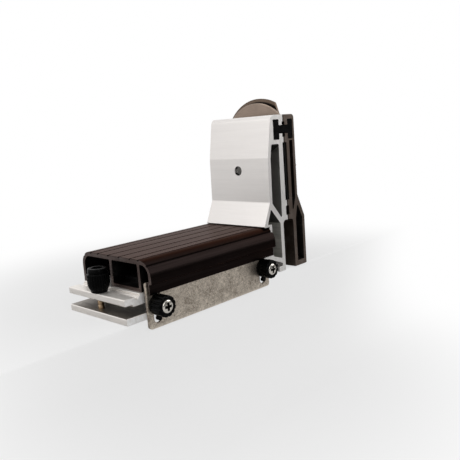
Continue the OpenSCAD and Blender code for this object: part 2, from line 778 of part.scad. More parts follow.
module fence_knob(x) {
    front_y = fence_out_y - washer_t - run_clear - knob_body_t;
    color([0.03, 0.03, 0.03]) difference() {
        translate([x, front_y + knob_body_t, knob_z]) rotate([90, 0, 0])
            rotate_extrude() polygon(rounded([[0, 0, 0], [fence_knob_r, 0, 0],
                [fence_knob_r, knob_body_t, knob_round_r], [0, knob_body_t, 0]]));
        for (i = [0:knob_flute_n - 1])
            translate([x, front_y - overrun, knob_z]) rotate([-90, i * 360 / knob_flute_n, 0])
                translate([fence_knob_r + knob_flute_in, 0, 0])
                cylinder(r = knob_flute_r, h = knob_body_t + 2 * overrun, $fn = 14);
        rod_y(m4_r, x, front_y - overrun, 0, knob_z);
        rod_y(cross_head_r, x, front_y - overrun, front_y + cross_bore_h, knob_z);
    }
}

module fence_screw(x) {
    front_y = fence_out_y - washer_t - run_clear - knob_body_t;
    head_y = front_y + cross_bore_h;
    color([0.85, 0.85, 0.85]) difference() {
        union() {
            rod_y(m4_r, x, head_y, screw_end_y, knob_z);
            rod_y(cross_head_r, x, head_y - cross_head_h, head_y, knob_z);
        }
        for (turn_deg = [0, 90])
            translate([x, head_y - cross_head_h, knob_z]) rotate([0, turn_deg, 0])
                translate([-cross_l / 2, -overrun, -cross_w / 2])
                cube([cross_l, cross_h + overrun, cross_w]);
    }
}

module fence_block(x) {
    near_y = fence_in_y + block_gap;
    color([0.04, 0.04, 0.04]) difference() {
        translate([x - block_w / 2, near_y, block_low_z])
            cube([block_w, block_t, block_high_z - block_low_z]);
        rod_y(m4_r + run_clear, x, near_y - overrun, near_y + block_t + overrun, knob_z);
    }
}

grip_extrusion();
inner_cheek();
outer_cheek();
bridge_key();
inner_liner();
liner_screw();
outer_liner();
gap_wheel();
gap_spindle();
gap_collar();
key_screw(-key_screw_inner_x, -key_screw_y);  // key_screw_a
key_screw(-key_screw_inner_x, key_screw_y);  // key_screw_b
key_screw(key_screw_outer_x, -key_screw_y);  // key_screw_c
key_screw(key_screw_outer_x, key_screw_y);  // key_screw_d
upper_clamp_bar();
lower_clamp_bar();
clamp_knob();
clamp_stud();
clamp_clip();
guide_pin(-1);  // guide_pin_a
guide_pin(1);  // guide_pin_b
nut_plate(bar_screw_x, [bar_screw_near_y, bar_screw_far_y]);  // bar_nut_plate
cap_screw(bar_screw_x, bar_screw_near_y, bar_step_z + m3_head_h);  // bar_screw_a
cap_screw(bar_screw_x, bar_screw_far_y, bar_step_z + m3_head_h);  // bar_screw_b
nut_plate(foot_screw_x, foot_screw_ys());  // foot_nut_plate
cap_screw(foot_screw_x, foot_screw_ys()[0], grip_z - tongue_t);  // foot_screw_a
cap_screw(foot_screw_x, foot_screw_ys()[1], grip_z - tongue_t);  // foot_screw_b
fence_plate();
fence_knob(left_x);  // left_knob
fence_knob(right_x);  // right_knob
fence_screw(left_x);  // left_screw
fence_screw(right_x);  // right_screw
fence_washer(left_x);  // left_washer
fence_washer(right_x);  // right_washer
fence_block(left_x);  // left_block
fence_block(right_x);  // right_block
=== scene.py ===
"""Looks of the hand saw guide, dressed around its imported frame.

Every piece keeps the place that the frame gives it. Sizes are in metres. X runs from the clamp end
of the grip to the tower, Y along the slit away from the fence and Z up.
"""

from __future__ import annotations

import json
import logging
import math
import sys
from abc import ABC, abstractmethod
from dataclasses import dataclass
from enum import Enum, IntEnum
from functools import reduce
from typing import Callable, Sequence

import bmesh
import bpy
from bpy.types import ID, Material, Mesh, MeshPolygon, Node, NodeSocket, NodeTree, Object
from mathutils import Matrix, Vector
from mathutils.bvhtree import BVHTree


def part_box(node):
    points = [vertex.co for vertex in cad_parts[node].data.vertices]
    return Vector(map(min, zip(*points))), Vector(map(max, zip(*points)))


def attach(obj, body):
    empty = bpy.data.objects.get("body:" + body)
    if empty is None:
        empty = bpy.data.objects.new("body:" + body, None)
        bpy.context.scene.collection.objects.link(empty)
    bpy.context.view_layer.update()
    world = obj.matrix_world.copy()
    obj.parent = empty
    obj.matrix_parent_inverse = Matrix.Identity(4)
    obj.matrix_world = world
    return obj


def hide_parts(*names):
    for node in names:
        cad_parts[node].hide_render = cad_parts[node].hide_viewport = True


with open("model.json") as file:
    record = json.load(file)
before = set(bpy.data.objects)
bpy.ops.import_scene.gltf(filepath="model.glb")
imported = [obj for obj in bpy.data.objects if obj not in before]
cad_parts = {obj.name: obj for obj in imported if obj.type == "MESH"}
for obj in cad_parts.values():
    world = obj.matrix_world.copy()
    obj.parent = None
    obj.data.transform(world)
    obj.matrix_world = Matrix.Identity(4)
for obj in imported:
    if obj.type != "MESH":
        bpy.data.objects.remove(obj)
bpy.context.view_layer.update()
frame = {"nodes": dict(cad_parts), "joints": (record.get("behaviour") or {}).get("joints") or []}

LOG = logging.getLogger("saw_guide")
MM = 0.001
WHITE = (1, 1, 1, 1)

# How meshes are cleaned: points nearer than this are one, and corners below the first angle are
# flat, above the second sharp. A face is square to an axis where its normal has this share of it.
MERGE_DISTANCE = 0.002 * MM
FLAT_ANGLE = math.radians(0.4)
SHARP_ANGLE = math.radians(28)
SQUARE = 0.9
LARGE_FACES_LEAD = 100

# Numbers of the Mix node's colour sockets, which share their names with others.
MIX_FIRST, MIX_SECOND, MIX_RESULT = 6, 7, 2

# Form of a thread: depth as a share of the pitch, and the facets of its coil, ridge and core.
THREAD_DEPTH = 0.3
COIL_FACETS = 24
RIDGE_FACETS = 4
CORE_FACETS = 40

Colour = tuple[float, float, float]
Spot = tuple[float, float, float]
Range = tuple[float, float]
Point = tuple[float, float]
Outline = list[Point]
Inputs = dict[str | int, object]
Palette = dict[str, Material]


class Axis(Enum):
    """Direction that a round piece or a grain follows."""

    X = Vector((1, 0, 0))
    Y = Vector((0, 1, 0))
    Z = Vector((0, 0, 1))
    MINUS_Y = Vector((0, -1, 0))

    @property
    def index(self) -> int:
        """Number of the coordinate that the axis changes."""
        return max(range(3), key=lambda i: abs(self.value[i]))


class Body(str, Enum):
    """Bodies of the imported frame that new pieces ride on."""

    FRAME = "guide_frame"
    WHEEL = "gap_wheel_unit"
    CLAMP_KNOB = "clamp_knob_unit"
    JAW = "clamp_jaw"
    FENCE = "fence"
    LEFT = "left_fastener"
    RIGHT = "right_fastener"


class Side(Enum):
    """The two fasteners of the side fence."""

    LEFT = "left"
    RIGHT = "right"


class Zone(IntEnum):
    """Where a face of a machined piece lies, as the number of its material."""

    SKIN = 0
    ENDS = 1
    INSIDE = 2


class Wiring:
    """Adds nodes to one tree and joins them."""

    def __init__(self, tree: NodeTree) -> None:
        """Takes the tree of a material, a world or a modifier."""
        self.tree = tree

    def fill(self, node: Node, inputs: Inputs) -> None:
        """Links outputs to a node's sockets, or sets the sockets' own values.

        Args:
            node: the node.
            inputs: outputs or plain values, by the socket's name or number.
        """
        for key, value in inputs.items():
            if isinstance(value, NodeSocket):
                self.tree.links.new(value, node.inputs[key])
            else:
                node.inputs[key].default_value = value

    def node(self, kind: str, inputs: Inputs | None = None, **settings: object) -> Node:
        """Adds a node.

        Args:
            kind: the node's type name.
            inputs: outputs or plain values, by the socket's name or number.
            settings: properties of the node, by name.

        Returns:
            The new node.
        """
        made = self.tree.nodes.new(kind)
        for name, value in settings.items():
            setattr(made, name, value)
        self.fill(made, inputs or {})
        return made

    def reckon(self, kind: str, *values: object) -> NodeSocket:
        """One arithmetic step, by the operation's name, on values or outputs."""
        return self.node("ShaderNodeMath", dict(enumerate(values)), operation=kind).outputs[0]

    def product(self, *factors: object) -> NodeSocket:
        """Product of several values or outputs."""
        return reduce(lambda first, second: self.reckon("MULTIPLY", first, second), factors)

    def weigh(self, values: Sequence[NodeSocket], weights: Sequence[float]) -> NodeSocket:
        """Sum of several outputs, each times its weight."""
        shares = [self.product(value, weight) for value, weight in zip(values, weights)]
        return reduce(lambda first, second: self.reckon("ADD", first, second), shares)

    def split(self, vector: NodeSocket) -> list[NodeSocket]:
        """The X, Y and Z of a vector."""
        return list(self.node("ShaderNodeSeparateXYZ", {0: vector}).outputs)

    def length(self, vector: NodeSocket) -> NodeSocket:
        """Length of a vector."""
        return self.node("ShaderNodeVectorMath", {0: vector}, operation="LENGTH").outputs["Value"]

    def span(
        self,
        value: NodeSocket,
        source: Sequence[object],
        target: Range = (0, 1),
        curve: str = "LINEAR",
    ) -> NodeSocket:
        """Stretches a value from one range to another, held at both ends.

        Args:
            value: output to stretch.
            source: the value's low and high end.
            target: what these two ends become.
            curve: how the result runs between them.

        Returns:
            The result's output.
        """
        names = ("From Min", "From Max", "To Min", "To Max")
        inputs = {"Value": value, **dict(zip(names, (*source, *target)))}
        return self.node("ShaderNodeMapRange", inputs, interpolation_type=curve).outputs["Result"]


class Graph(Wiring):
    """The nodes of one material."""

    def __init__(self, name: str) -> None:
        """Starts a material with one Principled shader.

        Args:
            name: name of the material.
        """
        self.material = bpy.data.materials.new(name)
        self.material.use_nodes = True
        super().__init__(self.material.node_tree)
        self.tree.nodes.clear()
        self.shader = self.node("ShaderNodeBsdfPrincipled")
        self.out = self.node("ShaderNodeOutputMaterial", {"Surface": self.shader.outputs[0]})

    def place(self, size: Sequence[float] = (1, 1, 1), centre: Spot = (0, 0, 0)) -> NodeSocket:
        """Object coordinates, scaled so that one unit is one grain of the pattern.

        Args:
            size: length of a grain along each axis, in metres.
            centre: point that the pattern starts from.

        Returns:
            The vector output.
        """
        where = self.node("ShaderNodeTexCoord").outputs["Object"]
        shift = self.node("ShaderNodeVectorMath", {0: where, 1: centre}, operation="SUBTRACT")
        factors = tuple(1 / s for s in size)
        inputs = {0: shift.outputs[0], 1: factors}
        return self.node("ShaderNodeVectorMath", inputs, operation="MULTIPLY").outputs[0]

    def noise(self, where: NodeSocket, detail: float, rough: float = 0.5) -> NodeSocket:
        """Noise of grain one at a place, about 0.5 on average. Rough weighs its finer layers."""
        inputs = {"Vector": where, "Scale": 1.0, "Detail": detail, "Roughness": rough}
        return self.node("ShaderNodeTexNoise", inputs).outputs["Fac"]

    def mottle(self, grain: float, detail: float, rough: float = 0.5) -> NodeSocket:
        """Noise whose grain has one size in every direction."""
        return self.noise(self.place((grain,) * 3), detail, rough)

    def blend(self, share: NodeSocket, first: object, second: object) -> NodeSocket:
        """Colour between two colours.

        Args:
            share: output from 0, all first, to 1, all second.
            first: colour or colour output.
            second: colour or colour output.

        Returns:
            The colour output.
        """
        inputs = {"Factor": share}
        for number, colour in ((MIX_FIRST, first), (MIX_SECOND, second)):
            inputs[number] = (*colour, 1) if isinstance(colour, tuple) else colour
        return self.node("ShaderNodeMix", inputs, data_type="RGBA").outputs[MIX_RESULT]

    def relief(self, height: NodeSocket, depth: float) -> NodeSocket:
        """Bump from an output between 0 and 1, of a real depth in metres."""
        return self.node("ShaderNodeBump", {"Height": height, "Distance": depth}).outputs["Normal"]

    def coat(self, colour: NodeSocket, roughness: NodeSocket, normal: NodeSocket) -> None:
        """Gives the shader its colour, roughness and relief."""
        self.fill(self.shader, {"Base Color": colour, "Roughness": roughness, "Normal": normal})


def grey(tone: float) -> Colour:
    """Grey of one tone."""
    return (tone, tone, tone)


def darker_and_lighter(colour: Colour, contrast: float) -> tuple[Colour, Colour]:
    """A colour taken down and up by the same share."""
    lighter = tuple(min(1.0, c * (1 + contrast)) for c in colour)
    return tuple(c * (1 - contrast) for c in colour), lighter


@dataclass(frozen=True)
class Finish(ABC):
    """What every finish has: a name, a main colour and its gloss.

    In the finishes below, a range is the stretch of a pattern's values over which a tone changes,
    and gloss_swing is what the roughness gains at the two ends of gloss_range.
    """

    name: str
    colour: Colour
    roughness: float
    metallic: float = 1.0
    edge_tint: Colour = (1, 1, 1)
    gloss: float = 0.5
    gloss_range: Range = (0.35, 0.7)
    gloss_swing: Range = (-0.05, 0.1)

    def build(self) -> Material:
        """Makes the material.

        Returns:
            The finished material.
        """
        graph = Graph(self.name)
        looks = {
            "Metallic": self.metallic,
            "Specular Tint": (*self.edge_tint, 1),
            "Specular IOR Level": self.gloss,
        }
        graph.fill(graph.shader, looks)
        self.paint(graph)
        return graph.material

    @abstractmethod
    def paint(self, graph: Graph) -> None:
        """Draws the finish's own colour, gloss and relief."""

    def uneven_gloss(self, graph: Graph, pattern: NodeSocket) -> NodeSocket:
        """Roughness that changes a little with a pattern."""
        ends = tuple(self.roughness + swing for swing in self.gloss_swing)
        return graph.span(pattern, self.gloss_range, ends)


@dataclass(frozen=True)
class DrawnMetal(Finish):
    """Extruded or brushed metal with long fine lines, broad streaks and a few stains."""

    gloss_range: Range = (0.3, 0.7)
    gloss_swing: Range = (0.06, -0.06)
    grain: Axis = Axis.Y
    line: float = 0.12 * MM
    line_length: float = 30 * MM
    streak: float = 1.6 * MM
    weights: tuple[float, ...] = (0.4, 0.6)
    contrast: float = 0.12
    tone_range: Range = (0.35, 0.65)
    stain: Colour = (0.5, 0.48, 0.46)
    stain_share: float = 0.15
    stain_size: float = 9 * MM
    stain_range: Range = (0.5, 0.75)
    depth: float = 0.004 * MM

    def lengthways(self, across: float) -> Spot:
        """Size of a grain that is long along the metal.

        Args:
            across: its width.

        Returns:
            Its size along each axis.
        """
        sizes = [across] * 3
        sizes[self.grain.index] = self.line_length
        return tuple(sizes)

    def paint(self, graph: Graph) -> None:
        """Draws lines, streaks and stains.

        Args:
            graph: the material's graph.
        """
        lines = graph.noise(graph.place(self.lengthways(self.line)), detail=1)
        streaks = graph.noise(graph.place(self.lengthways(self.streak)), detail=3, rough=0.6)
        clouds = graph.mottle(self.stain_size, detail=4, rough=0.6)
        both = graph.weigh((lines, streaks), self.weights)
        shades = darker_and_lighter(self.colour, self.contrast)
        tone = graph.blend(graph.span(both, self.tone_range), *shades)
        stains = graph.span(clouds, self.stain_range, (0, self.stain_share))
        stained = graph.blend(stains, tone, self.stain)
        graph.coat(stained, self.uneven_gloss(graph, both), graph.relief(lines, self.depth))


@dataclass(frozen=True)
class Galvanised(Finish):
    """Zinc-coated sheet: mottled crystals, broad clouds, fine grit and a paler lower rim.

    The weights are those of crystals, patches of crystals, clouds and grit, in this order.
    """

    gloss_range: Range = (0.4, 0.8)
    gloss_swing: Range = (0.1, -0.08)
    light: Colour = (0.82, 0.735, 0.63)
    crystal: float = 0.65 * MM
    patch_crystals: float = 2.4
    cloud: float = 7 * MM
    grit: float = 0.45 * MM
    weights: tuple[float, ...] = (0.1, 0.3, 0.24, 0.52)
    tone_range: Range = (0.445, 0.725)
    speck: float = 0.55 * MM
    speck_tone: Colour = (0.13, 0.108, 0.087)
    speck_range: Range = (0.27, 0.38)
    speck_share: float = 0.6
    depth: float = 0.01 * MM
    rim: float = 0
    rim_band: float = 1.6 * MM
    rim_paling: float = 0.6

    def paint(self, graph: Graph) -> None:
        """Draws crystals, patches, clouds, grit, specks and the paler lower rim.

        Args:
            graph: the material's graph.
        """
        where = {"Vector": graph.place((self.crystal,) * 3), "Scale": 1.0}
        cells = graph.node("ShaderNodeTexVoronoi", where).outputs["Color"]
        crystals = graph.node("ShaderNodeSeparateColor", {0: cells}).outputs[0]
        patches = graph.mottle(self.crystal * self.patch_crystals, detail=4, rough=0.65)
        clouds = graph.mottle(self.cloud, detail=2)
        grit = graph.mottle(self.grit, detail=2, rough=0.7)
        mixed = graph.weigh((crystals, patches, clouds, grit), self.weights)
        mottled = graph.blend(graph.span(mixed, self.tone_range), self.colour, self.light)
        specks = graph.mottle(self.speck, detail=1)
        dark = graph.span(specks, self.speck_range, (self.speck_share, 0))
        speckled = graph.blend(dark, mottled, self.speck_tone)
        # The sheet turns paler towards its lower rim, over rim_band.
        height = graph.split(graph.place())[Axis.Z.index]
        worn = graph.span(height, (self.rim, self.rim + self.rim_band), (self.rim_paling, 0))
        colour = graph.blend(worn, speckled, self.light)
        graph.coat(colour, self.uneven_gloss(graph, mixed), graph.relief(grit, self.depth))


@dataclass(frozen=True)
class TurnedSteel(Finish):
    """Steel turned on a lathe: rings about its axis, wiped scratches, clouds, painted groove shade.

    The groove is given by its start and end along the axis and its greatest radius, over whose
    fades the painted shade stops. The weights are those of rings, scratches and clouds, in this
    order.
    """

    gloss_range: Range = (0.35, 0.65)
    gloss_swing: Range = (0.08, -0.08)
    centre: Spot = (0, 0, 0)
    ring: float = 0.16 * MM
    scratch: Spot = (6 * MM, 5 * MM, 0.14 * MM)
    cloud: float = 7 * MM
    weights: tuple[float, ...] = (0.55, 0.25, 0.2)
    contrast: float = 0.2
    tone_range: Range = (0.38, 0.62)
    depth: float = 0.006 * MM
    groove: Range = (1.1 * MM, 3.05 * MM)
    groove_fade: float = 0.04 * MM
    groove_radius: float = 24.2 * MM
    radius_fade: float = 0.5 * MM
    # Colour of the painted shade in the groove behind the wheel's front disc.
    groove_shade: Colour = (0.02, 0.016, 0.013)

    def paint(self, graph: Graph) -> None:
        """Draws rings, scratches, clouds and the groove's painted shade.

        Args:
            graph: the material's graph.
        """
        along, y, z = graph.split(graph.place(centre=self.centre))
        across = graph.node("ShaderNodeCombineXYZ", {"Y": y, "Z": z}).outputs[0]
        radius = graph.length(across)
        steps = [graph.reckon("DIVIDE", distance, self.ring) for distance in (radius, along)]
        path = graph.node("ShaderNodeCombineXYZ", {"X": steps[0], "Y": steps[1]}).outputs[0]
        rings = graph.noise(path, detail=2)
        scratches = graph.noise(graph.place(self.scratch), detail=2)
        clouds = graph.mottle(self.cloud, detail=4, rough=0.6)
        mixed = graph.weigh((rings, scratches, clouds), self.weights)
        shades = darker_and_lighter(self.colour, self.contrast)
        steel = graph.blend(graph.span(mixed, self.tone_range), *shades)
        # The groove between the discs gets painted shade.
        groove_shaded = graph.blend(self.groove_shade_share(graph, along, radius), steel, self.groove_shade)
        graph.coat(groove_shaded, self.uneven_gloss(graph, mixed), graph.relief(rings, self.depth))

    def groove_shade_share(self, graph: Graph, along: NodeSocket, radius: NodeSocket) -> NodeSocket:
        """Share of painted shade, which darkens the groove between the wheel's two discs.

        Args:
            graph: the material's graph.
            along: distance along the axis from the wheel's face.
            radius: distance from the axis.

        Returns:
            The share, 1 in the groove and 0 elsewhere.
        """
        start, end = self.groove
        after = graph.span(along, (start - self.groove_fade, start))
        before = graph.span(along, (end, end + self.groove_fade), (1, 0))
        rim = (self.groove_radius - self.radius_fade, self.groove_radius)
        return graph.product(after, before, graph.span(radius, rim, (1, 0)))


@dataclass(frozen=True)
class MouldedPlastic(Finish):
    """Moulded plastic with a faint orange-peel skin and handling dust."""

    metallic: float = 0.0
    gloss_swing: Range = (-0.05, 0.12)
    peel: float = 0.5 * MM
    depth: float = 0.012 * MM
    cloud: float = 3.5 * MM
    dust: Colour = (0.09, 0.09, 0.09)
    dust_range: Range = (0.52, 0.78)
    dust_share: float = 0.25

    def paint(self, graph: Graph) -> None:
        """Draws the skin, its gloss and the dust.

        Args:
            graph: the material's graph.
        """
        skin = graph.mottle(self.peel, detail=3, rough=0.6)
        clouds = graph.mottle(self.cloud, detail=5, rough=0.7)
        share = graph.span(clouds, self.dust_range, (0, self.dust_share))
        colour = graph.blend(share, self.colour, self.dust)
        graph.coat(colour, self.uneven_gloss(graph, clouds), graph.relief(skin, self.depth))


@dataclass(frozen=True)
class PlatedSteel(Finish):
    """Plated screw steel with tiny pits and a worn, slightly yellow cast."""

    worn: Colour = (0.55, 0.5, 0.42)
    worn_range: Range = (0.45, 0.7)
    worn_share: float = 0.6
    worn_size: float = 1.8 * MM
    pit: float = 0.35 * MM
    depth: float = 0.008 * MM

    def paint(self, graph: Graph) -> None:
        """Draws pits and wear.

        Args:
            graph: the material's graph.
        """
        pits = graph.mottle(self.pit, detail=3, rough=0.6)
        wear = graph.mottle(self.worn_size, detail=4, rough=0.65)
        share = graph.span(wear, self.worn_range, (0, self.worn_share))
        colour = graph.blend(share, self.colour, self.worn)
        graph.coat(colour, self.uneven_gloss(graph, wear), graph.relief(pits, self.depth))


def extrusion_finishes() -> tuple[Finish, ...]:
    """Finishes of the two cheeks and the grip: skin, sawn ends and chambers.

    Returns:
        The finishes.
    """
    return (
        DrawnMetal("cheek_silver", (0.69, 0.662, 0.642), 0.42, contrast=0.02, stain_share=0.06),
        DrawnMetal(
            "cheek_silver_sawn",
            (0.8, 0.78, 0.76),
            0.5,
            grain=Axis.Z,
            line_length=7 * MM,
            contrast=0.08,
        ),
        # Painted shade: the silver cheek's chamber walls, darker than its skin, with stains.
        DrawnMetal(
            "cheek_chamber",
            (0.15, 0.155, 0.142),
            0.5,
            contrast=0.25,
            stain=(0.11, 0.115, 0.104),
            stain_share=0.3,
        ),
        # Painted shade, paler than above: the silver cheek's chamber walls below the brace.
        DrawnMetal(
            "cheek_low_chamber",
            (0.44, 0.43, 0.4),
            0.6,
            metallic=0.6,
            contrast=0.2,
            stain=(0.3, 0.3, 0.27),
            stain_share=0.3,
        ),
        DrawnMetal(
            "cheek_bronze", (0.12, 0.095, 0.078), 0.38, edge_tint=(0.6, 0.55, 0.5), contrast=0.1
        ),
        DrawnMetal(
            "cheek_bronze_sawn", (0.13, 0.1, 0.082), 0.45, grain=Axis.Z, line_length=7 * MM
        ),
        # Painted shade: the bronze cheek's chamber walls, darker than its skin.
        DrawnMetal("bronze_chamber", (0.05, 0.043, 0.038), 0.5, contrast=0.25),
        DrawnMetal(
            "grip_brown",
            (0.011, 0.0079, 0.0074),
            0.3,
            edge_tint=(0.6, 0.512, 0.487),
            grain=Axis.X,
            line_length=60 * MM,
            contrast=0.35,
            stain=(0.02, 0.015, 0.013),
            stain_share=0.12,
        ),
        DrawnMetal(
            "grip_brown_sawn", (0.1, 0.074, 0.067), 0.42, line_length=5 * MM, contrast=0.2
        ),
        DrawnMetal("grip_chamber", (0.012, 0.01, 0.01), 0.55, grain=Axis.X, contrast=0.2),
    )


def bar_finishes() -> tuple[Finish, ...]:
    """Finishes of the clamp's bars: skin, painted shade for the inner faces, and sawn ends.

    Returns:
        The finishes.
    """
    return (
        # The bars' own silver, with a warm cast that is a painted reflection of a wooden board.
        DrawnMetal(
            "bar_silver",
            (0.86, 0.82, 0.775),
            0.42,
            metallic=0.7,
            line_length=9 * MM,
            contrast=0.05,
            depth=0.006 * MM,
        ),
        # Painted shade on the faces where the two bars look at each other.
        DrawnMetal(
            "bar_jaw_face",
            (0.3, 0.27, 0.24),
            0.42,
            line_length=9 * MM,
            contrast=0.2,
            stain_share=0.1,
        ),
        DrawnMetal(
            "bar_sawn",
            (0.96, 0.935, 0.9),
            0.5,
            metallic=0.0,
            grain=Axis.Z,
            line=0.2 * MM,
            line_length=2 * MM,
        ),
    )


def fitting_finishes(wheel_centre: Spot, fence_low: float) -> tuple[Finish, ...]:
    """Finishes of the fence, the wheel, the plastic pieces and the screws.

    Args:
        wheel_centre: point on the gap wheel's axis, which its rings run round.
        fence_low: height of the fence's lower rim.

    Returns:
        The finishes.
    """
    return (
        Galvanised("fence_zinc", (0.28, 0.234, 0.188), 0.4, rim=fence_low),
        TurnedSteel("wheel_steel", (0.27, 0.21, 0.17), 0.4, centre=wheel_centre),
        # Darker copy of the wheel's steel: painted shade on the rear flange.
        TurnedSteel("wheel_rear_steel", (0.13, 0.095, 0.072), 0.42, centre=wheel_centre),
        MouldedPlastic("black_plastic", grey(0.0012), 0.24, gloss=0.05, dust=grey(0.004)),
        MouldedPlastic(
            "liner_plastic", grey(0.004), 0.45, gloss=0.1, peel=0.3 * MM, dust=grey(0.012)
        ),
        PlatedSteel("bright_screw", (0.8, 0.76, 0.7), 0.16),
        # Painted shade for the walls of the screws' cross recess.
        PlatedSteel("cross_recess", (0.012, 0.011, 0.01), 0.4, worn=(0.03, 0.027, 0.024)),
        PlatedSteel("screw_steel", (0.6, 0.59, 0.57), 0.32),
        PlatedSteel("black_steel", grey(0.07), 0.36, worn=grey(0.12)),
        PlatedSteel("stud_brass", (0.46, 0.34, 0.22), 0.3, worn=(0.3, 0.2, 0.12)),
    )


def link(name: str, data: ID) -> Object:
    """Puts a mesh, a lamp or a camera into the scene at the origin.

    Args:
        name: name of the object.
        data: what it holds, a mesh already in its place.

    Returns:
        The new object.
    """
    made = bpy.data.objects.new(name, data)
    bpy.context.scene.collection.objects.link(made)
    return made


def plain_mesh(form: bmesh.types.BMesh, name: str, *materials: Material) -> Mesh:
    """Closes the work on a form.

    Args:
        form: the form, which is freed.
        name: name of the mesh.
        materials: the mesh's materials.

    Returns:
        The mesh.
    """
    mesh = bpy.data.meshes.new(name)
    form.to_mesh(mesh)
    form.free()
    for material in materials:
        mesh.materials.append(material)
    return mesh


def settle(piece: Object) -> Object:
    """Turns the result of a piece's modifiers into its plain mesh.

    Args:
        piece: object whose modifiers are done.

    Returns:
        The same object, with no modifiers.
    """
    bpy.context.view_layer.update()
    shown = piece.evaluated_get(bpy.context.evaluated_depsgraph_get())
    result = bpy.data.meshes.new_from_object(shown)
    piece.modifiers.clear()
    piece.data = result
    result.name = piece.name
    return piece


def shade(mesh: Mesh) -> None:
    """Shades a mesh smooth, with its true corners kept sharp.

    Args:
        mesh: the mesh.
    """
    form = bmesh.new()
    form.from_mesh(mesh)
    for face in form.faces:
        face.smooth = True
    for edge in form.edges:
        edge.smooth = len(edge.link_faces) == 2 and edge.calc_face_angle(0) < SHARP_ANGLE
    form.to_mesh(mesh)
    form.free()


def even_normals(piece: Object) -> Object:
    """Keeps the shading of large flat faces flat beside rounded ones.

    Args:
        piece: the piece.

    Returns:
        The same object.
    """
    shade(piece.data)
    step = piece.modifiers.new("even_normals", "WEIGHTED_NORMAL")
    step.keep_sharp = True
    step.weight = LARGE_FACES_LEAD
    return settle(piece)


def dress(node: str, material: Material) -> None:
    """Gives a node of the frame its finish and leaves its shape as it is.

    Args:
        node: name of the node.
        material: its finish.
    """
    for holder in frame["nodes"][node].material_slots:
        holder.material = material
    LOG.info("%s: finish %s", node, material.name)


def repaint(piece: Object, material: Material, chosen: Callable[[MeshPolygon], bool]) -> None:
    """Gives some faces of a finished piece one more finish.

    Args:
        piece: the piece.
        material: the finish.
        chosen: tells whether a face gets it.
    """
    piece.data.materials.append(material)
    number = len(piece.data.materials) - 1
    for face in piece.data.polygons:
        if chosen(face):
            face.material_index = number


def hand_over(piece: Object, node: str, body: Body) -> None:
    """Hangs a finished piece on its body and hides the node that it stands for.

    Args:
        piece: finished object at the origin.
        node: node that it stands for.
        body: body that it rides on.
    """
    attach(piece, body.value)
    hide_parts(node)
    LOG.info("%s: stands for %s, %d faces", piece.name, node, len(piece.data.polygons))


@dataclass(frozen=True)
class Machining:
    """How a copy of a node is finished: the finish of its skin, cut ends and inner walls."""

    skin: Material
    ends: Material
    inside: Material
    cut: Axis
    edge: float = 0.12 * MM
    end_tolerance: float = 0.25

    def copy(self, node: str, name: str) -> Object:
        """Copies a node, breaks the edges of its cut ends and paints it.

        Args:
            node: node that is copied.
            name: name of the new piece.

        Returns:
            The new object.
        """
        form = bmesh.new()
        form.from_mesh(frame["nodes"][node].data)
        bmesh.ops.remove_doubles(form, verts=form.verts, dist=MERGE_DISTANCE)
        bmesh.ops.dissolve_limit(form, angle_limit=FLAT_ANGLE, verts=form.verts, edges=form.edges)
        if self.edge > 0:
            self.break_edges(form)
        self.paint(form)
        mesh = plain_mesh(form, name, self.skin, self.ends, self.inside)
        return even_normals(link(name, mesh))

    def at_end(self, place: Vector, ends: Range) -> bool:
        """Tells whether a point lies in one of the two cut ends, to a share of the chamfer."""
        nearest = min(abs(place[self.cut.index] - end) for end in ends)
        return nearest < self.edge * self.end_tolerance

    def break_edges(self, form: bmesh.types.BMesh) -> None:
        """Chamfers the outer corners of the cut ends.

        Args:
            form: the piece's form.
        """
        spots = [vertex.co[self.cut.index] for vertex in form.verts]
        ends = (min(spots), max(spots))
        corners = [
            edge
            for edge in form.edges
            if all(self.at_end(vertex.co, ends) for vertex in edge.verts)
            and len(edge.link_faces) == 2
            and edge.is_convex
            and edge.calc_face_angle(0) > SHARP_ANGLE
        ]
        bmesh.ops.bevel(
            form,
            geom=corners,
            offset=self.edge,
            segments=1,
            affect="EDGES",
            clamp_overlap=True,
            profile=0.5,
        )

    def paint(self, form: bmesh.types.BMesh) -> None:
        """Gives each face its zone. One that looks at another wall of the piece lies inside.

        Args:
            form: the piece's form.
        """
        form.normal_update()
        tree = BVHTree.FromBMesh(form)
        for face in form.faces:
            if abs(face.normal[self.cut.index]) > SQUARE:
                face.material_index = Zone.ENDS
                continue
            # A face that looks at another wall lies in a hollow; in the cheeks its inside finish is
            # painted shade.
            start = face.calc_center_median() + face.normal * self.edge
            open_to_air = tree.ray_cast(start, face.normal)[0] is None
            face.material_index = Zone.SKIN if open_to_air else Zone.INSIDE


@dataclass(frozen=True)
class Seat:
    """Room that a round node takes: where its axis starts, its direction, radius and length."""

    start: Vector
    axis: Axis
    radius: float
    length: float

    @classmethod
    def of(cls, node: str, axis: Axis) -> "Seat":
        """Reads the room from the frame.

        Args:
            node: round node.
            axis: direction from its foot to its head.

        Returns:
            The seat, which starts at the foot.
        """
        low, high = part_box(node)
        middle, size = (low + high) / 2, high - low
        length = size[axis.index]
        across = [size[i] for i in range(3) if i != axis.index]
        return cls(middle - axis.value * length / 2, axis, min(across) / 2, length)

    @property
    def matrix(self) -> Matrix:
        """Matrix that brings a shape turned about +Z to this seat."""
        turn = Axis.Z.value.rotation_difference(self.axis.value).to_matrix().to_4x4()
        return Matrix.Translation(self.start) @ turn


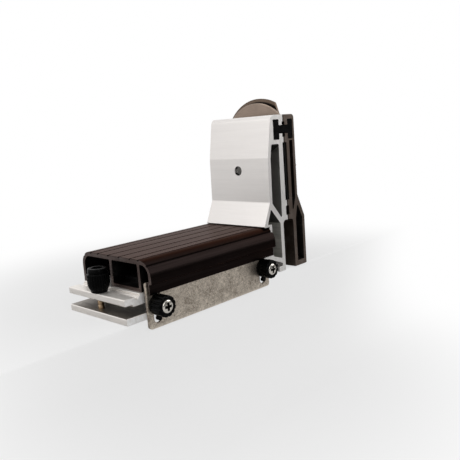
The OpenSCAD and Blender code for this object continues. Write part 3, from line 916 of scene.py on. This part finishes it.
def lathe(name: str, outline: Outline, sides: int) -> Object:
    """Turns an outline about +Z into a closed shape.

    Args:
        name: name of the piece.
        outline: (radius, height) points from the foot's centre to the head's centre.
        sides: number of faces round the axis.

    Returns:
        The new object, with its poles closed.
    """
    form = bmesh.new()
    turns = [2 * math.pi * i / sides for i in range(sides)]
    rings = []
    for radius, height in outline:
        spots = [(radius * math.cos(turn), radius * math.sin(turn), height) for turn in turns]
        rings.append([form.verts.new(spot) for spot in (spots if radius else [(0, 0, height)])])
    for lower, upper in zip(rings, rings[1:]):
        for i in range(sides):
            places = ((lower, i), (lower, i + 1), (upper, i + 1), (upper, i))
            corners = [ring[place % sides % len(ring)] for ring, place in places]
            form.faces.new(list(dict.fromkeys(corners)))
    bmesh.ops.recalc_face_normals(form, faces=form.faces)
    return link(name, plain_mesh(form, name))


def arc(centre: Point, radius: float, start: float, end: float, steps: int) -> Outline:
    """Points of an arc round a (radius, height) centre, from one angle in degrees to another."""
    angles = [math.radians(start + (end - start) * i / steps) for i in range(steps + 1)]
    return [(centre[0] + radius * math.cos(a), centre[1] + radius * math.sin(a)) for a in angles]


class Recipe(Wiring):
    """A geometry node tree with named inputs, which makes or changes one mesh."""

    def __init__(self, name: str) -> None:
        """Starts an empty tree.

        Args:
            name: name of the tree.
        """
        super().__init__(bpy.data.node_groups.new(name, "GeometryNodeTree"))
        for way in ("INPUT", "OUTPUT"):
            self.tree.interface.new_socket(
                "Geometry", in_out=way, socket_type="NodeSocketGeometry"
            )
        self.entry = self.node("NodeGroupInput")

    def ask(self, name: str, kind: str = "NodeSocketFloat") -> NodeSocket:
        """Adds a named input and gives its output socket inside the tree."""
        self.tree.interface.new_socket(name, in_out="INPUT", socket_type=kind)
        return self.entry.outputs[name]

    def end(self, geometry: NodeSocket) -> None:
        """Realises the instances, sets the material from the input Finish and closes the tree.

        Args:
            geometry: what the tree has made.
        """
        finish = self.ask("Finish", "NodeSocketMaterial")
        real = self.node("GeometryNodeRealizeInstances", {"Geometry": geometry}).outputs[0]
        painted = self.node("GeometryNodeSetMaterial", {"Geometry": real, "Material": finish})
        self.node("NodeGroupOutput", {0: painted.outputs[0]})

    def apply(self, piece: Object, values: dict[str, object]) -> None:
        """Runs the tree on a piece, which keeps only the mesh that the tree makes.

        Args:
            piece: object that the tree works on.
            values: a value for each named input.
        """
        step = piece.modifiers.new(self.tree.name, "NODES")
        step.node_group = self.tree
        for item in self.tree.interface.items_tree:
            if item.in_out == "INPUT" and item.name in values:
                step[item.identifier] = values[item.name]
        settle(piece)


def flute_recipe() -> Recipe:
    """Tree that presses even flutes into the side of a turned knob.

    Returns:
        The tree, with the inputs Flutes, Depth, Inner Radius, Outer Radius, Low, High and Finish.
    """
    tree = Recipe("press_flutes")
    names = ("Flutes", "Depth", "Inner Radius", "Outer Radius", "Low", "High")
    count, depth, inner, outer, low, high = (tree.ask(name) for name in names)
    place = tree.node("GeometryNodeInputPosition").outputs[0]
    x, y, z = tree.split(place)
    squares = [tree.reckon("POWER", side, 2.0) for side in (x, y)]
    radius = tree.reckon("SQRT", tree.reckon("ADD", *squares))
    turned = tree.product(tree.reckon("ARCTAN2", y, x), count)
    wave = tree.reckon("MAXIMUM", tree.reckon("COSINE", turned), 0.0)
    near_rim = tree.span(radius, (inner, outer), curve="SMOOTHSTEP")
    above = tree.reckon("GREATER_THAN", z, low)
    below = tree.reckon("LESS_THAN", z, high)
    press = tree.product(wave, depth, near_rim, above, below, -1.0)
    nearest_to_axis = 0.1 * MM
    inward = tree.reckon("DIVIDE", press, tree.reckon("MAXIMUM", radius, nearest_to_axis))
    flat = tree.node("ShaderNodeVectorMath", {0: place, 1: (1, 1, 0)}, operation="MULTIPLY")
    inputs = {0: flat.outputs[0], "Scale": inward}
    shift = tree.node("ShaderNodeVectorMath", inputs, operation="SCALE").outputs[0]
    inputs = {"Geometry": tree.entry.outputs["Geometry"], "Offset": shift}
    tree.end(tree.node("GeometryNodeSetPosition", inputs).outputs[0])
    return tree


def thread_recipe() -> Recipe:
    """Tree that winds a thread round a core.

    Returns:
        The tree, with the inputs Core Radius, Depth, Turns, Length and Finish.
    """
    tree = Recipe("wind_thread")
    names = ("Core Radius", "Depth", "Turns", "Length")
    core, depth, turns, length = (tree.ask(name) for name in names)
    helix = {"Resolution": COIL_FACETS, "Rotations": turns, "Height": length}
    helix |= {"Start Radius": core, "End Radius": core}
    path = tree.node("GeometryNodeCurveSpiral", helix).outputs[0]
    circle = {"Resolution": RIDGE_FACETS, "Radius": depth}
    ridge = tree.node("GeometryNodeCurvePrimitiveCircle", circle).outputs[0]
    sweep = {"Curve": path, "Profile Curve": ridge, "Fill Caps": True}
    coil = tree.node("GeometryNodeCurveToMesh", sweep).outputs[0]
    cylinder = {"Vertices": CORE_FACETS, "Radius": core, "Depth": length}
    rod = tree.node("GeometryNodeMeshCylinder", cylinder).outputs["Mesh"]
    lift = tree.node("ShaderNodeCombineXYZ", {"Z": tree.product(length, 0.5)}).outputs[0]
    move = {"Geometry": rod, "Translation": lift}
    raised = tree.node("GeometryNodeTransform", move).outputs[0]
    joined = tree.node("GeometryNodeJoinGeometry")
    for part in (raised, coil):
        tree.fill(joined, {0: part})
    tree.end(joined.outputs[0])
    return tree


def threaded(tree: Recipe, name: str, seat: Seat, pitch: float, material: Material) -> Object:
    """Makes a threaded rod in a seat.

    Args:
        tree: the thread's tree.
        name: name of the piece.
        seat: where it stands, and its outer radius and length.
        pitch: distance between two turns.
        material: its finish.

    Returns:
        The rod, in its place.
    """
    depth = THREAD_DEPTH * pitch
    length = seat.length - 2 * depth
    rod = link(name, bpy.data.meshes.new(name))
    values = {
        "Core Radius": seat.radius - depth,
        "Depth": depth,
        "Turns": length / pitch,
        "Length": length,
        "Finish": material,
    }
    tree.apply(rod, values)
    rod.data.transform(seat.matrix @ Matrix.Translation((0, 0, depth)))
    shade(rod.data)
    return rod


@dataclass(frozen=True)
class Flutes:
    """Even flutes in a turned knob, which fade from the outer radius to the inner one."""

    count: int
    depth: float
    inner: float
    outer: float
    low: float
    high: float
    facets: int

    def turn(self, tree: Recipe, name: str, outline: Outline, seat: Seat, skin: Material) -> Object:
        """Turns a knob and presses the flutes into it.

        Args:
            tree: the flutes' tree.
            name: name of the piece.
            outline: (radius, height) points of the knob.
            seat: where it stands.
            skin: its finish.

        Returns:
            The knob, in its place.
        """
        knob = lathe(name, outline, self.count * self.facets)
        values = {
            "Flutes": float(self.count),
            "Depth": self.depth,
            "Inner Radius": self.inner,
            "Outer Radius": self.outer,
            "Low": self.low,
            "High": self.high,
            "Finish": skin,
        }
        tree.apply(knob, values)
        knob.data.transform(seat.matrix)
        shade(knob.data)
        return knob


@dataclass
class Tower:
    """The two cheeks, the key that joins them and the strips of the slit."""

    finishes: Palette
    inner_edge: float = 0.18 * MM
    brace: float = 26 * MM
    liners: tuple[str, ...] = ("inner_liner", "outer_liner")
    screws: tuple[str, ...] = (
        "liner_screw",
        "key_screw_a",
        "key_screw_b",
        "key_screw_c",
        "key_screw_d",
    )

    def build(self) -> None:
        """Dresses each tower piece; the chamber walls get painted shade, paler below the brace."""
        palette = self.finishes
        silver = (palette["cheek_silver"], palette["cheek_silver_sawn"], palette["cheek_chamber"])
        inner = Machining(*silver, Axis.Y, self.inner_edge).copy("inner_cheek", "silver_cheek")
        # Paler painted shade on the silver cheek's chamber walls below the brace.
        repaint(
            inner,
            palette["cheek_low_chamber"],
            lambda face: face.material_index == Zone.INSIDE and face.center.z < self.brace,
        )
        hand_over(inner, "inner_cheek", Body.FRAME)
        bronze = (palette["cheek_bronze"], palette["cheek_bronze_sawn"], palette["bronze_chamber"])
        outer = Machining(*bronze, Axis.Y).copy("outer_cheek", "bronze_cheek")
        hand_over(outer, "outer_cheek", Body.FRAME)
        dress("bridge_key", palette["black_plastic"])
        for node in self.liners:
            dress(node, palette["liner_plastic"])
        for node in self.screws:
            dress(node, palette["screw_steel"])


@dataclass
class Grip:
    """The ribbed extrusion that the hand presses down, with what is screwed to it from inside."""

    finishes: Palette
    nut_plates: tuple[str, ...] = ("bar_nut_plate", "foot_nut_plate")
    screws: tuple[str, ...] = ("bar_screw_a", "bar_screw_b", "foot_screw_a", "foot_screw_b")

    def build(self) -> None:
        """Dresses the extrusion and its fixings."""
        palette = self.finishes
        brown = (palette["grip_brown"], palette["grip_brown_sawn"], palette["grip_chamber"])
        body = Machining(*brown, Axis.X).copy("grip_extrusion", "brown_grip")
        hand_over(body, "grip_extrusion", Body.FRAME)
        for node in (*self.nut_plates, *self.screws):
            dress(node, palette["black_steel"])


@dataclass
class EndClamp:
    """Two bright bars that a ribbed, barrel-shaped knob draws together.

    From its foot up, the knob has a taper, a straight body, a neck and a crown with a dish. Names
    that end in share are shares of its radius. foot_ring is a share of the foot's radius, and
    crown_lean and crown_belly are shares of the crown's height.
    """

    finishes: Palette
    flutes: Recipe
    thread: Recipe
    bar_edge: float = 0.15 * MM
    pins: tuple[str, ...] = ("guide_pin_a", "guide_pin_b")
    pitch: float = 0.5 * MM
    ribs: int = 26
    rib_depth: float = 0.22 * MM
    rib_reach_share: float = 0.98
    rib_facets: int = 12
    foot: float = 0.9 * MM
    foot_share: float = 0.71
    foot_ring: float = 0.6
    taper: float = 3 * MM
    body: float = 4.3 * MM
    rows: int = 8
    lip_share: float = 0.09
    neck: float = 0.45 * MM
    neck_share: float = 0.86
    neck_middle_share: float = 0.84
    crown_share: float = 0.9
    crown_arc: Range = (-40, 0)
    crown_lean: float = 0.05
    crown_belly: float = 0.55
    dish: float = 0.9 * MM
    dish_radius: float = 2.4 * MM

    def build(self) -> None:
        """Makes and dresses the clamp."""
        palette = self.finishes
        bright = (palette["bar_silver"], palette["bar_sawn"], palette["bar_silver"])
        machining = Machining(*bright, Axis.Y, self.bar_edge)
        bars = (("upper_clamp_bar", Body.FRAME, -1), ("lower_clamp_bar", Body.JAW, 1))
        for node, body, inward in bars:
            bar = machining.copy(node, f"bright_{node}")
            # The faces that look at the other bar get painted shade.
            repaint(bar, palette["bar_jaw_face"], lambda face: face.normal.z * inward > SQUARE)
            hand_over(bar, node, body)
        hand_over(self.knob(), "clamp_knob", Body.CLAMP_KNOB)
        seat = Seat.of("clamp_stud", Axis.Z)
        stud = threaded(self.thread, "clamp_thread", seat, self.pitch, palette["stud_brass"])
        hand_over(stud, "clamp_stud", Body.CLAMP_KNOB)
        dress("clamp_clip", palette["black_steel"])
        for node in self.pins:
            dress(node, palette["screw_steel"])

    def knob(self) -> Object:
        """Turns the knob and presses its ribs.

        Returns:
            The knob, in its place.
        """
        seat = Seat.of("clamp_knob", Axis.Z)
        wide, top = seat.radius, seat.length
        low, lip, waist = (wide * s for s in (self.foot_share, self.lip_share, self.neck_share))
        base, shoulder = low + lip / 2, self.foot + self.taper
        neck = shoulder + self.body
        crown = neck + self.neck
        rim, bowl, brow = top - crown, top - self.dish, wide * self.crown_share
        outline = [(0, 0), (low * self.foot_ring, 0), (low, 0), (base, lip / 2), (base, self.foot)]
        for share in (i / self.rows for i in range(1, self.rows + 1)):
            swell = math.sin(share * math.pi / 2)
            outline.append((base + (wide - base) * swell, self.foot + self.taper * share))
        outline += [(wide, shoulder + self.body * i / self.rows) for i in range(1, self.rows)]
        outline += arc((wide - lip, neck - lip), lip, 0, 90, steps=3)
        middle = (wide * self.neck_middle_share, neck + self.neck / 2)
        outline += [(waist, neck), middle, (waist, crown)]
        outline += arc((brow - lip, crown + lip), lip, *self.crown_arc, steps=2)
        outline += [(brow - rim * self.crown_lean, crown + rim * self.crown_belly)]
        outline += arc((waist - lip, top - lip), lip, 0, 90, steps=4)
        outline += arc((self.dish_radius + lip / 2, top - lip / 2), lip / 2, 90, 180, steps=3)
        outline += [(self.dish_radius, bowl), (self.dish_radius / 2, bowl), (0, bowl)]
        ribs = Flutes(
            self.ribs,
            self.rib_depth,
            inner=low,
            outer=wide * self.rib_reach_share,
            low=self.foot,
            high=neck - lip / 2,
            facets=self.rib_facets,
        )
        skin = self.finishes["black_plastic"]
        return ribs.turn(self.flutes, "ribbed_knob", outline, seat, skin)


@dataclass
class SideFence:
    """The galvanised plate with its two thumb knobs, screws, washers and nut blocks.

    The flutes run past both ends of a knob, by beyond. In a screw's head, head_ring, head_brow and
    head_flat are shares of its radius, and head_straight, head_round and head_fall of its height.
    """

    finishes: Palette
    flutes: Recipe
    thread: Recipe
    plate_edge: float = 0.1 * MM
    flute_count: int = 12
    flute_depth: float = 0.42 * MM
    flute_inner_share: float = 0.72
    flute_facets: int = 16
    beyond: float = 1 * MM
    knob_chamfer: float = 0.3 * MM
    knob_round: float = 0.9 * MM
    knob_rows: int = 7
    bore_round: float = 0.25 * MM
    head_sink: float = 1.3 * MM
    head_height: float = 1.5 * MM
    head_ring: float = 0.6
    head_straight: float = 0.3
    head_round: float = 0.55
    head_arc: Range = (15, 75)
    head_brow: float = 0.5
    head_fall: float = 0.03
    head_flat: float = 0.25
    head_sides: int = 64
    cross_length: float = 4.6 * MM
    cross_width: float = 1.5 * MM
    cross_depth: float = 1.25 * MM
    cross_taper: float = 0.5
    shank_radius: float = 1.95 * MM
    shank_pitch: float = 0.7 * MM

    def build(self) -> None:
        """Makes and dresses the fence and its fasteners."""
        zinc, plastic = self.finishes["fence_zinc"], self.finishes["black_plastic"]
        plate = Machining(zinc, zinc, zinc, Axis.Y, self.plate_edge)
        hand_over(plate.copy("fence_plate", "zinc_plate"), "fence_plate", Body.FENCE)
        for side, body in ((Side.LEFT, Body.LEFT), (Side.RIGHT, Body.RIGHT)):
            hand_over(self.knob(side), f"{side.value}_knob", body)
            hand_over(self.screw(side), f"{side.value}_screw", body)
            dress(f"{side.value}_washer", plastic)
            dress(f"{side.value}_block", plastic)

    def knob(self, side: Side) -> Object:
        """Turns one thumb knob and presses its flutes.

        Args:
            side: the fastener that it belongs to.

        Returns:
            The knob, in its place.
        """
        seat = Seat.of(f"{side.value}_knob", Axis.MINUS_Y)
        bore = Seat.of(f"{side.value}_screw", Axis.MINUS_Y).radius
        wide, top = seat.radius, seat.length
        start, rim, lip = self.knob_chamfer, self.knob_round, self.bore_round
        straight, sunk, rows = top - rim - start, top - self.head_sink, self.knob_rows
        outline = [(0, 0), (wide / 2, 0), (wide - start, 0), (wide, start)]
        outline += [(wide, start + straight * i / rows) for i in range(1, rows)]
        outline += arc((wide - rim, top - rim), rim, 0, 90, steps=6)
        outline += arc((bore + lip, top - lip), lip, 90, 180, steps=3)
        outline += [(bore, sunk), (bore / 2, sunk), (0, sunk)]
        flutes = Flutes(
            self.flute_count,
            self.flute_depth,
            inner=wide * self.flute_inner_share,
            outer=wide,
            low=-self.beyond,
            high=top + self.beyond,
            facets=self.flute_facets,
        )
        skin = self.finishes["black_plastic"]
        return flutes.turn(self.flutes, f"{side.value}_thumb_knob", outline, seat, skin)

    def screw(self, side: Side) -> Object:
        """Makes one pan-head screw with a cross recess and a threaded shank.

        Args:
            side: the fastener that it belongs to.

        Returns:
            The screw, in its place.
        """
        seat = Seat.of(f"{side.value}_screw", Axis.MINUS_Y)
        foot = seat.length - self.head_height
        bright = self.finishes["bright_screw"]
        head = lathe(f"{side.value}_cross_screw", self.head(seat.radius, foot), self.head_sides)
        head.data.materials.append(bright)
        cutter = self.cross(seat.length)
        cut = head.modifiers.new("cross", "BOOLEAN")
        cut.object = cutter
        cut.solver = "EXACT"
        cut.material_mode = "TRANSFER"
        settle(head)
        bpy.data.objects.remove(cutter)
        below = Seat(Vector((0, 0, 0)), Axis.Z, self.shank_radius, foot)
        shank = threaded(self.thread, f"{side.value}_shank", below, self.shank_pitch, bright)
        form = bmesh.new()
        form.from_mesh(head.data)
        form.from_mesh(shank.data)
        form.to_mesh(head.data)
        form.free()
        bpy.data.objects.remove(shank)
        head.data.transform(seat.matrix)
        shade(head.data)
        return head

    def head(self, wide: float, foot: float) -> Outline:
        """Draws the screw's pan head.

        Args:
            wide: its radius.
            foot: height that it starts from.

        Returns:
            (radius, height) points from the foot's centre to the top's centre.
        """
        tall = self.head_height
        top, round_off, straight = foot + tall, tall * self.head_round, tall * self.head_straight
        outline = [(0, foot), (wide * self.head_ring, foot), (wide, foot), (wide, foot + straight)]
        outline += arc((wide - round_off, foot + straight), round_off, *self.head_arc, steps=5)
        brow = (wide * self.head_brow, top - tall * self.head_fall)
        return outline + [brow, (wide * self.head_flat, top), (0, top)]

    def cross(self, top: float) -> Object:
        """Makes the cutter of the cross recess.

        Args:
            top: height of the head's top.

        Returns:
            The cutter, which is removed after use.
        """
        half, wing = self.cross_width / 2, self.cross_length / 2
        quarter, plan = [(half, half), (half, wing), (-half, wing)], []
        for _ in range(4):
            plan += quarter
            quarter = [(-y, x) for x, y in quarter]
        form = bmesh.new()
        mouth, pit = ((1, top + half), (self.cross_taper, top - self.cross_depth))
        upper, lower = (
            [form.verts.new((x * scale, y * scale, height)) for x, y in plan]
            for scale, height in (mouth, pit)
        )
        form.faces.new(upper)
        form.faces.new(list(reversed(lower)))
        for i in range(len(plan)):
            j = (i + 1) % len(plan)
            form.faces.new((upper[i], lower[i], lower[j], upper[j]))
        bmesh.ops.recalc_face_normals(form, faces=form.faces)
        # The cutter's finish becomes the painted shade on the recess walls that it cuts.
        return link("cross_cutter", plain_mesh(form, "cross_cutter", self.finishes["cross_recess"]))


@dataclass
class GapWheel:
    """The turned wheel behind the outer cheek, its slotted spindle and collar."""

    finishes: Palette
    flange_start: float = 3.5 * MM

    def build(self) -> None:
        """Dresses the wheel, with painted shade from its rear flange on, and what holds it."""
        palette = self.finishes
        steel = (palette["wheel_steel"], palette["wheel_rear_steel"], palette["wheel_steel"])
        wheel = Machining(*steel, Axis.X, edge=0).copy("gap_wheel", "turned_wheel")
        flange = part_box("gap_wheel")[0].x + self.flange_start
        # Faces from the rear flange on get the painted shade.
        for face in wheel.data.polygons:
            face.material_index = Zone.ENDS if face.center.x > flange else Zone.SKIN
        hand_over(wheel, "gap_wheel", Body.WHEEL)
        dress("gap_spindle", palette["screw_steel"])
        dress("gap_collar", palette["black_steel"])


@dataclass(frozen=True)
class Lamp:
    """Soft round lamp: its place, width and power."""

    name: str
    place: Spot
    size: float
    power: float

    def hang(self, aim: Spot) -> None:
        """Hangs the lamp.

        Args:
            aim: point that it shines at.
        """
        lamp = bpy.data.lights.new(self.name, "AREA")
        lamp.shape = "DISK"
        lamp.size = self.size
        lamp.energy = self.power
        holder = link(self.name, lamp)
        holder.location = self.place
        way = Vector(aim) - Vector(self.place)
        holder.rotation_euler = way.to_track_quat("-Z", "Y").to_euler()


@dataclass
class Studio:
    """Pale floor with a step, soft light and the photograph's camera.

    The camera's place, turns in degrees and lens come from points measured in the photograph. In
    the room that gloss shows, the light grows towards bright_side, over room_range of its share.
    """

    camera_place: Spot = (-0.23367, -0.20179, 0.0742)
    camera_turn: float = 46.22
    camera_down: float = 9.93
    camera_roll: float = -4.16
    lens: float = 44.67
    sensor: float = 36
    near_clip: float = 0.01
    floor_reach: float = 0.34
    step_drop: float = 0.05
    step_round: float = 1.2 * MM
    cove: float = 0.03
    floor_gap: float = 0.02 * MM
    floor_colour: Colour = (0.6, 0.6, 0.6)
    floor_roughness: float = 0.9
    floor_glow: float = 0.6
    middle: Spot = (-0.045, 0, 0)
    fade: Range = (0.06, 0.2)
    sky: float = 0.38
    bright_side: Spot = (-0.3, 0.65, 0.7)
    room_range: Range = (-0.7, 0.6)
    room_light: Range = (0.16, 1.0)
    aim: Spot = (-0.04, 0, 0.03)
    lamps: tuple[Lamp, ...] = (
        Lamp("key_left", (-0.85, 0.15, 0.65), 1.0, 3.0),
        Lamp("top", (0.1, 0.15, 1.1), 0.9, 2.8),
        Lamp("front_fill", (0.75, -0.65, 0.5), 0.8, 3.4),
        Lamp("low_fill", (-0.3, -0.85, 0.3), 0.5, 0.9),
    )

    def build(self) -> None:
        """Makes the floor, the light and the camera."""
        self.floor()
        for lamp in self.lamps:
            lamp.hang(self.aim)
        self.surround()
        self.shoot()

    def floor(self) -> None:
        """Sweeps the stepped floor, whose step stands against the fence."""
        plate = frame["nodes"]["fence_plate"].data
        step = max(v.co.y for v in plate.vertices if v.co.z < 0) + self.floor_gap
        top, low, reach = -self.floor_gap, -self.step_drop, self.floor_reach
        turn, cove = self.step_round, self.cove
        profile = [(reach, top)]
        profile += arc((step + turn, top - turn), turn, 90, 180, steps=6)
        profile += arc((step - cove, low + cove), cove, 0, -90, steps=10)
        profile += [(-reach, low)]
        form = bmesh.new()
        near, far = ([form.verts.new((x, y, z)) for y, z in profile] for x in (-reach, reach))
        for i in range(len(profile) - 1):
            form.faces.new((near[i], near[i + 1], far[i + 1], far[i]))
        bmesh.ops.recalc_face_normals(form, faces=form.faces)
        floor = link("pale_floor", plain_mesh(form, "pale_floor", self.card()))
        for face in floor.data.polygons:
            face.use_smooth = True
        LOG.info("pale_floor: step %.1f mm from the slit's middle", step / MM)

    def card(self) -> Material:
        """White card that the camera sees a little brighter, with the shadows kept.

        Returns:
            The floor's material.
        """
        graph = Graph("pale_card")
        plain = {"Base Color": (*self.floor_colour, 1), "Roughness": self.floor_roughness}
        graph.fill(graph.shader, plain)
        glow = graph.node("ShaderNodeEmission", {"Color": WHITE}).outputs[0]
        away = graph.length(graph.place(centre=self.middle))
        share = graph.span(away, self.fade, (self.floor_glow, 1.0), curve="SMOOTHERSTEP")
        seen = graph.product(graph.node("ShaderNodeLightPath").outputs["Is Camera Ray"], share)
        mix = graph.node("ShaderNodeMixShader", {0: seen, 1: graph.shader.outputs[0], 2: glow})
        graph.fill(graph.out, {"Surface": mix.outputs[0]})
        return graph.material

    def surround(self) -> None:
        """Puts a room round the guide: white for the camera, with its own light for gloss."""
        world = bpy.data.worlds.new("white_room")
        bpy.context.scene.world = world
        world.use_nodes = True
        room = Wiring(world.node_tree)
        room.tree.nodes.clear()
        path = room.node("ShaderNodeLightPath").outputs
        seen = room.reckon("MAXIMUM", path["Is Camera Ray"], path["Is Transmission Ray"])
        plain, glossy, white = (
            room.node("ShaderNodeBackground", {"Color": WHITE, "Strength": strength}).outputs[0]
            for strength in (self.sky, self.gloss_light(room), 1.0)
        )
        unseen = {0: path["Is Glossy Ray"], 1: plain, 2: glossy}
        both = {0: seen, 1: room.node("ShaderNodeMixShader", unseen).outputs[0], 2: white}
        mixed = room.node("ShaderNodeMixShader", both).outputs[0]
        room.node("ShaderNodeOutputWorld", {"Surface": mixed})

    def gloss_light(self, room: Wiring) -> NodeSocket:
        """Strength of the room that gloss shows, darker on the fence's side and below.

        Args:
            room: the world's nodes.

        Returns:
            The strength's output.
        """
        way = room.node("ShaderNodeTexCoord").outputs["Generated"]
        inputs = {0: way, 1: self.bright_side}
        facing = room.node("ShaderNodeVectorMath", inputs, operation="DOT_PRODUCT")
        light = facing.outputs["Value"]
        return room.span(light, self.room_range, self.room_light, curve="SMOOTHSTEP")

    def shoot(self) -> None:
        """Stands the camera where the photograph was taken."""
        degrees = (self.camera_turn, self.camera_down, self.camera_roll)
        turn, down, roll = (math.radians(angle) for angle in degrees)
        level = math.cos(down)
        ahead = Vector((math.sin(turn) * level, math.cos(turn) * level, -math.sin(down)))
        right = Vector((math.cos(turn), -math.sin(turn), 0))
        up = right.cross(ahead)
        rolled_right = right * math.cos(roll) + up * math.sin(roll)
        rolled_up = up * math.cos(roll) - right * math.sin(roll)
        camera = bpy.data.cameras.new("photo_camera")
        camera.lens = self.lens
        camera.sensor_width = self.sensor
        camera.clip_start = self.near_clip
        holder = link("photo_camera", camera)
        axes = Matrix((rolled_right, rolled_up, -ahead)).transposed().to_4x4()
        holder.matrix_world = Matrix.Translation(self.camera_place) @ axes
        bpy.context.scene.camera = holder
        bpy.context.scene.view_settings.view_transform = "Standard"


def wheel_axis() -> Spot:
    """Point on the gap wheel's axis, read from its joint."""
    joint = next(j for j in frame["joints"] if j["name"] == "gap_wheel_turn")
    return tuple(Vector(joint["pos_m"]))


def main() -> None:
    """Builds the guide piece by piece and then the studio round it."""
    logging.basicConfig(level=logging.INFO, format="%(name)s %(message)s", stream=sys.stdout)
    fittings = fitting_finishes(wheel_axis(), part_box("fence_plate")[0].z)
    kinds = (*extrusion_finishes(), *bar_finishes(), *fittings)
    finishes = {kind.name: kind.build() for kind in kinds}
    flutes, thread = flute_recipe(), thread_recipe()
    Tower(finishes).build()
    Grip(finishes).build()
    EndClamp(finishes, flutes, thread).build()
    SideFence(finishes, flutes, thread).build()
    GapWheel(finishes).build()
    Studio().build()


if __name__ == "__main__":
    main()
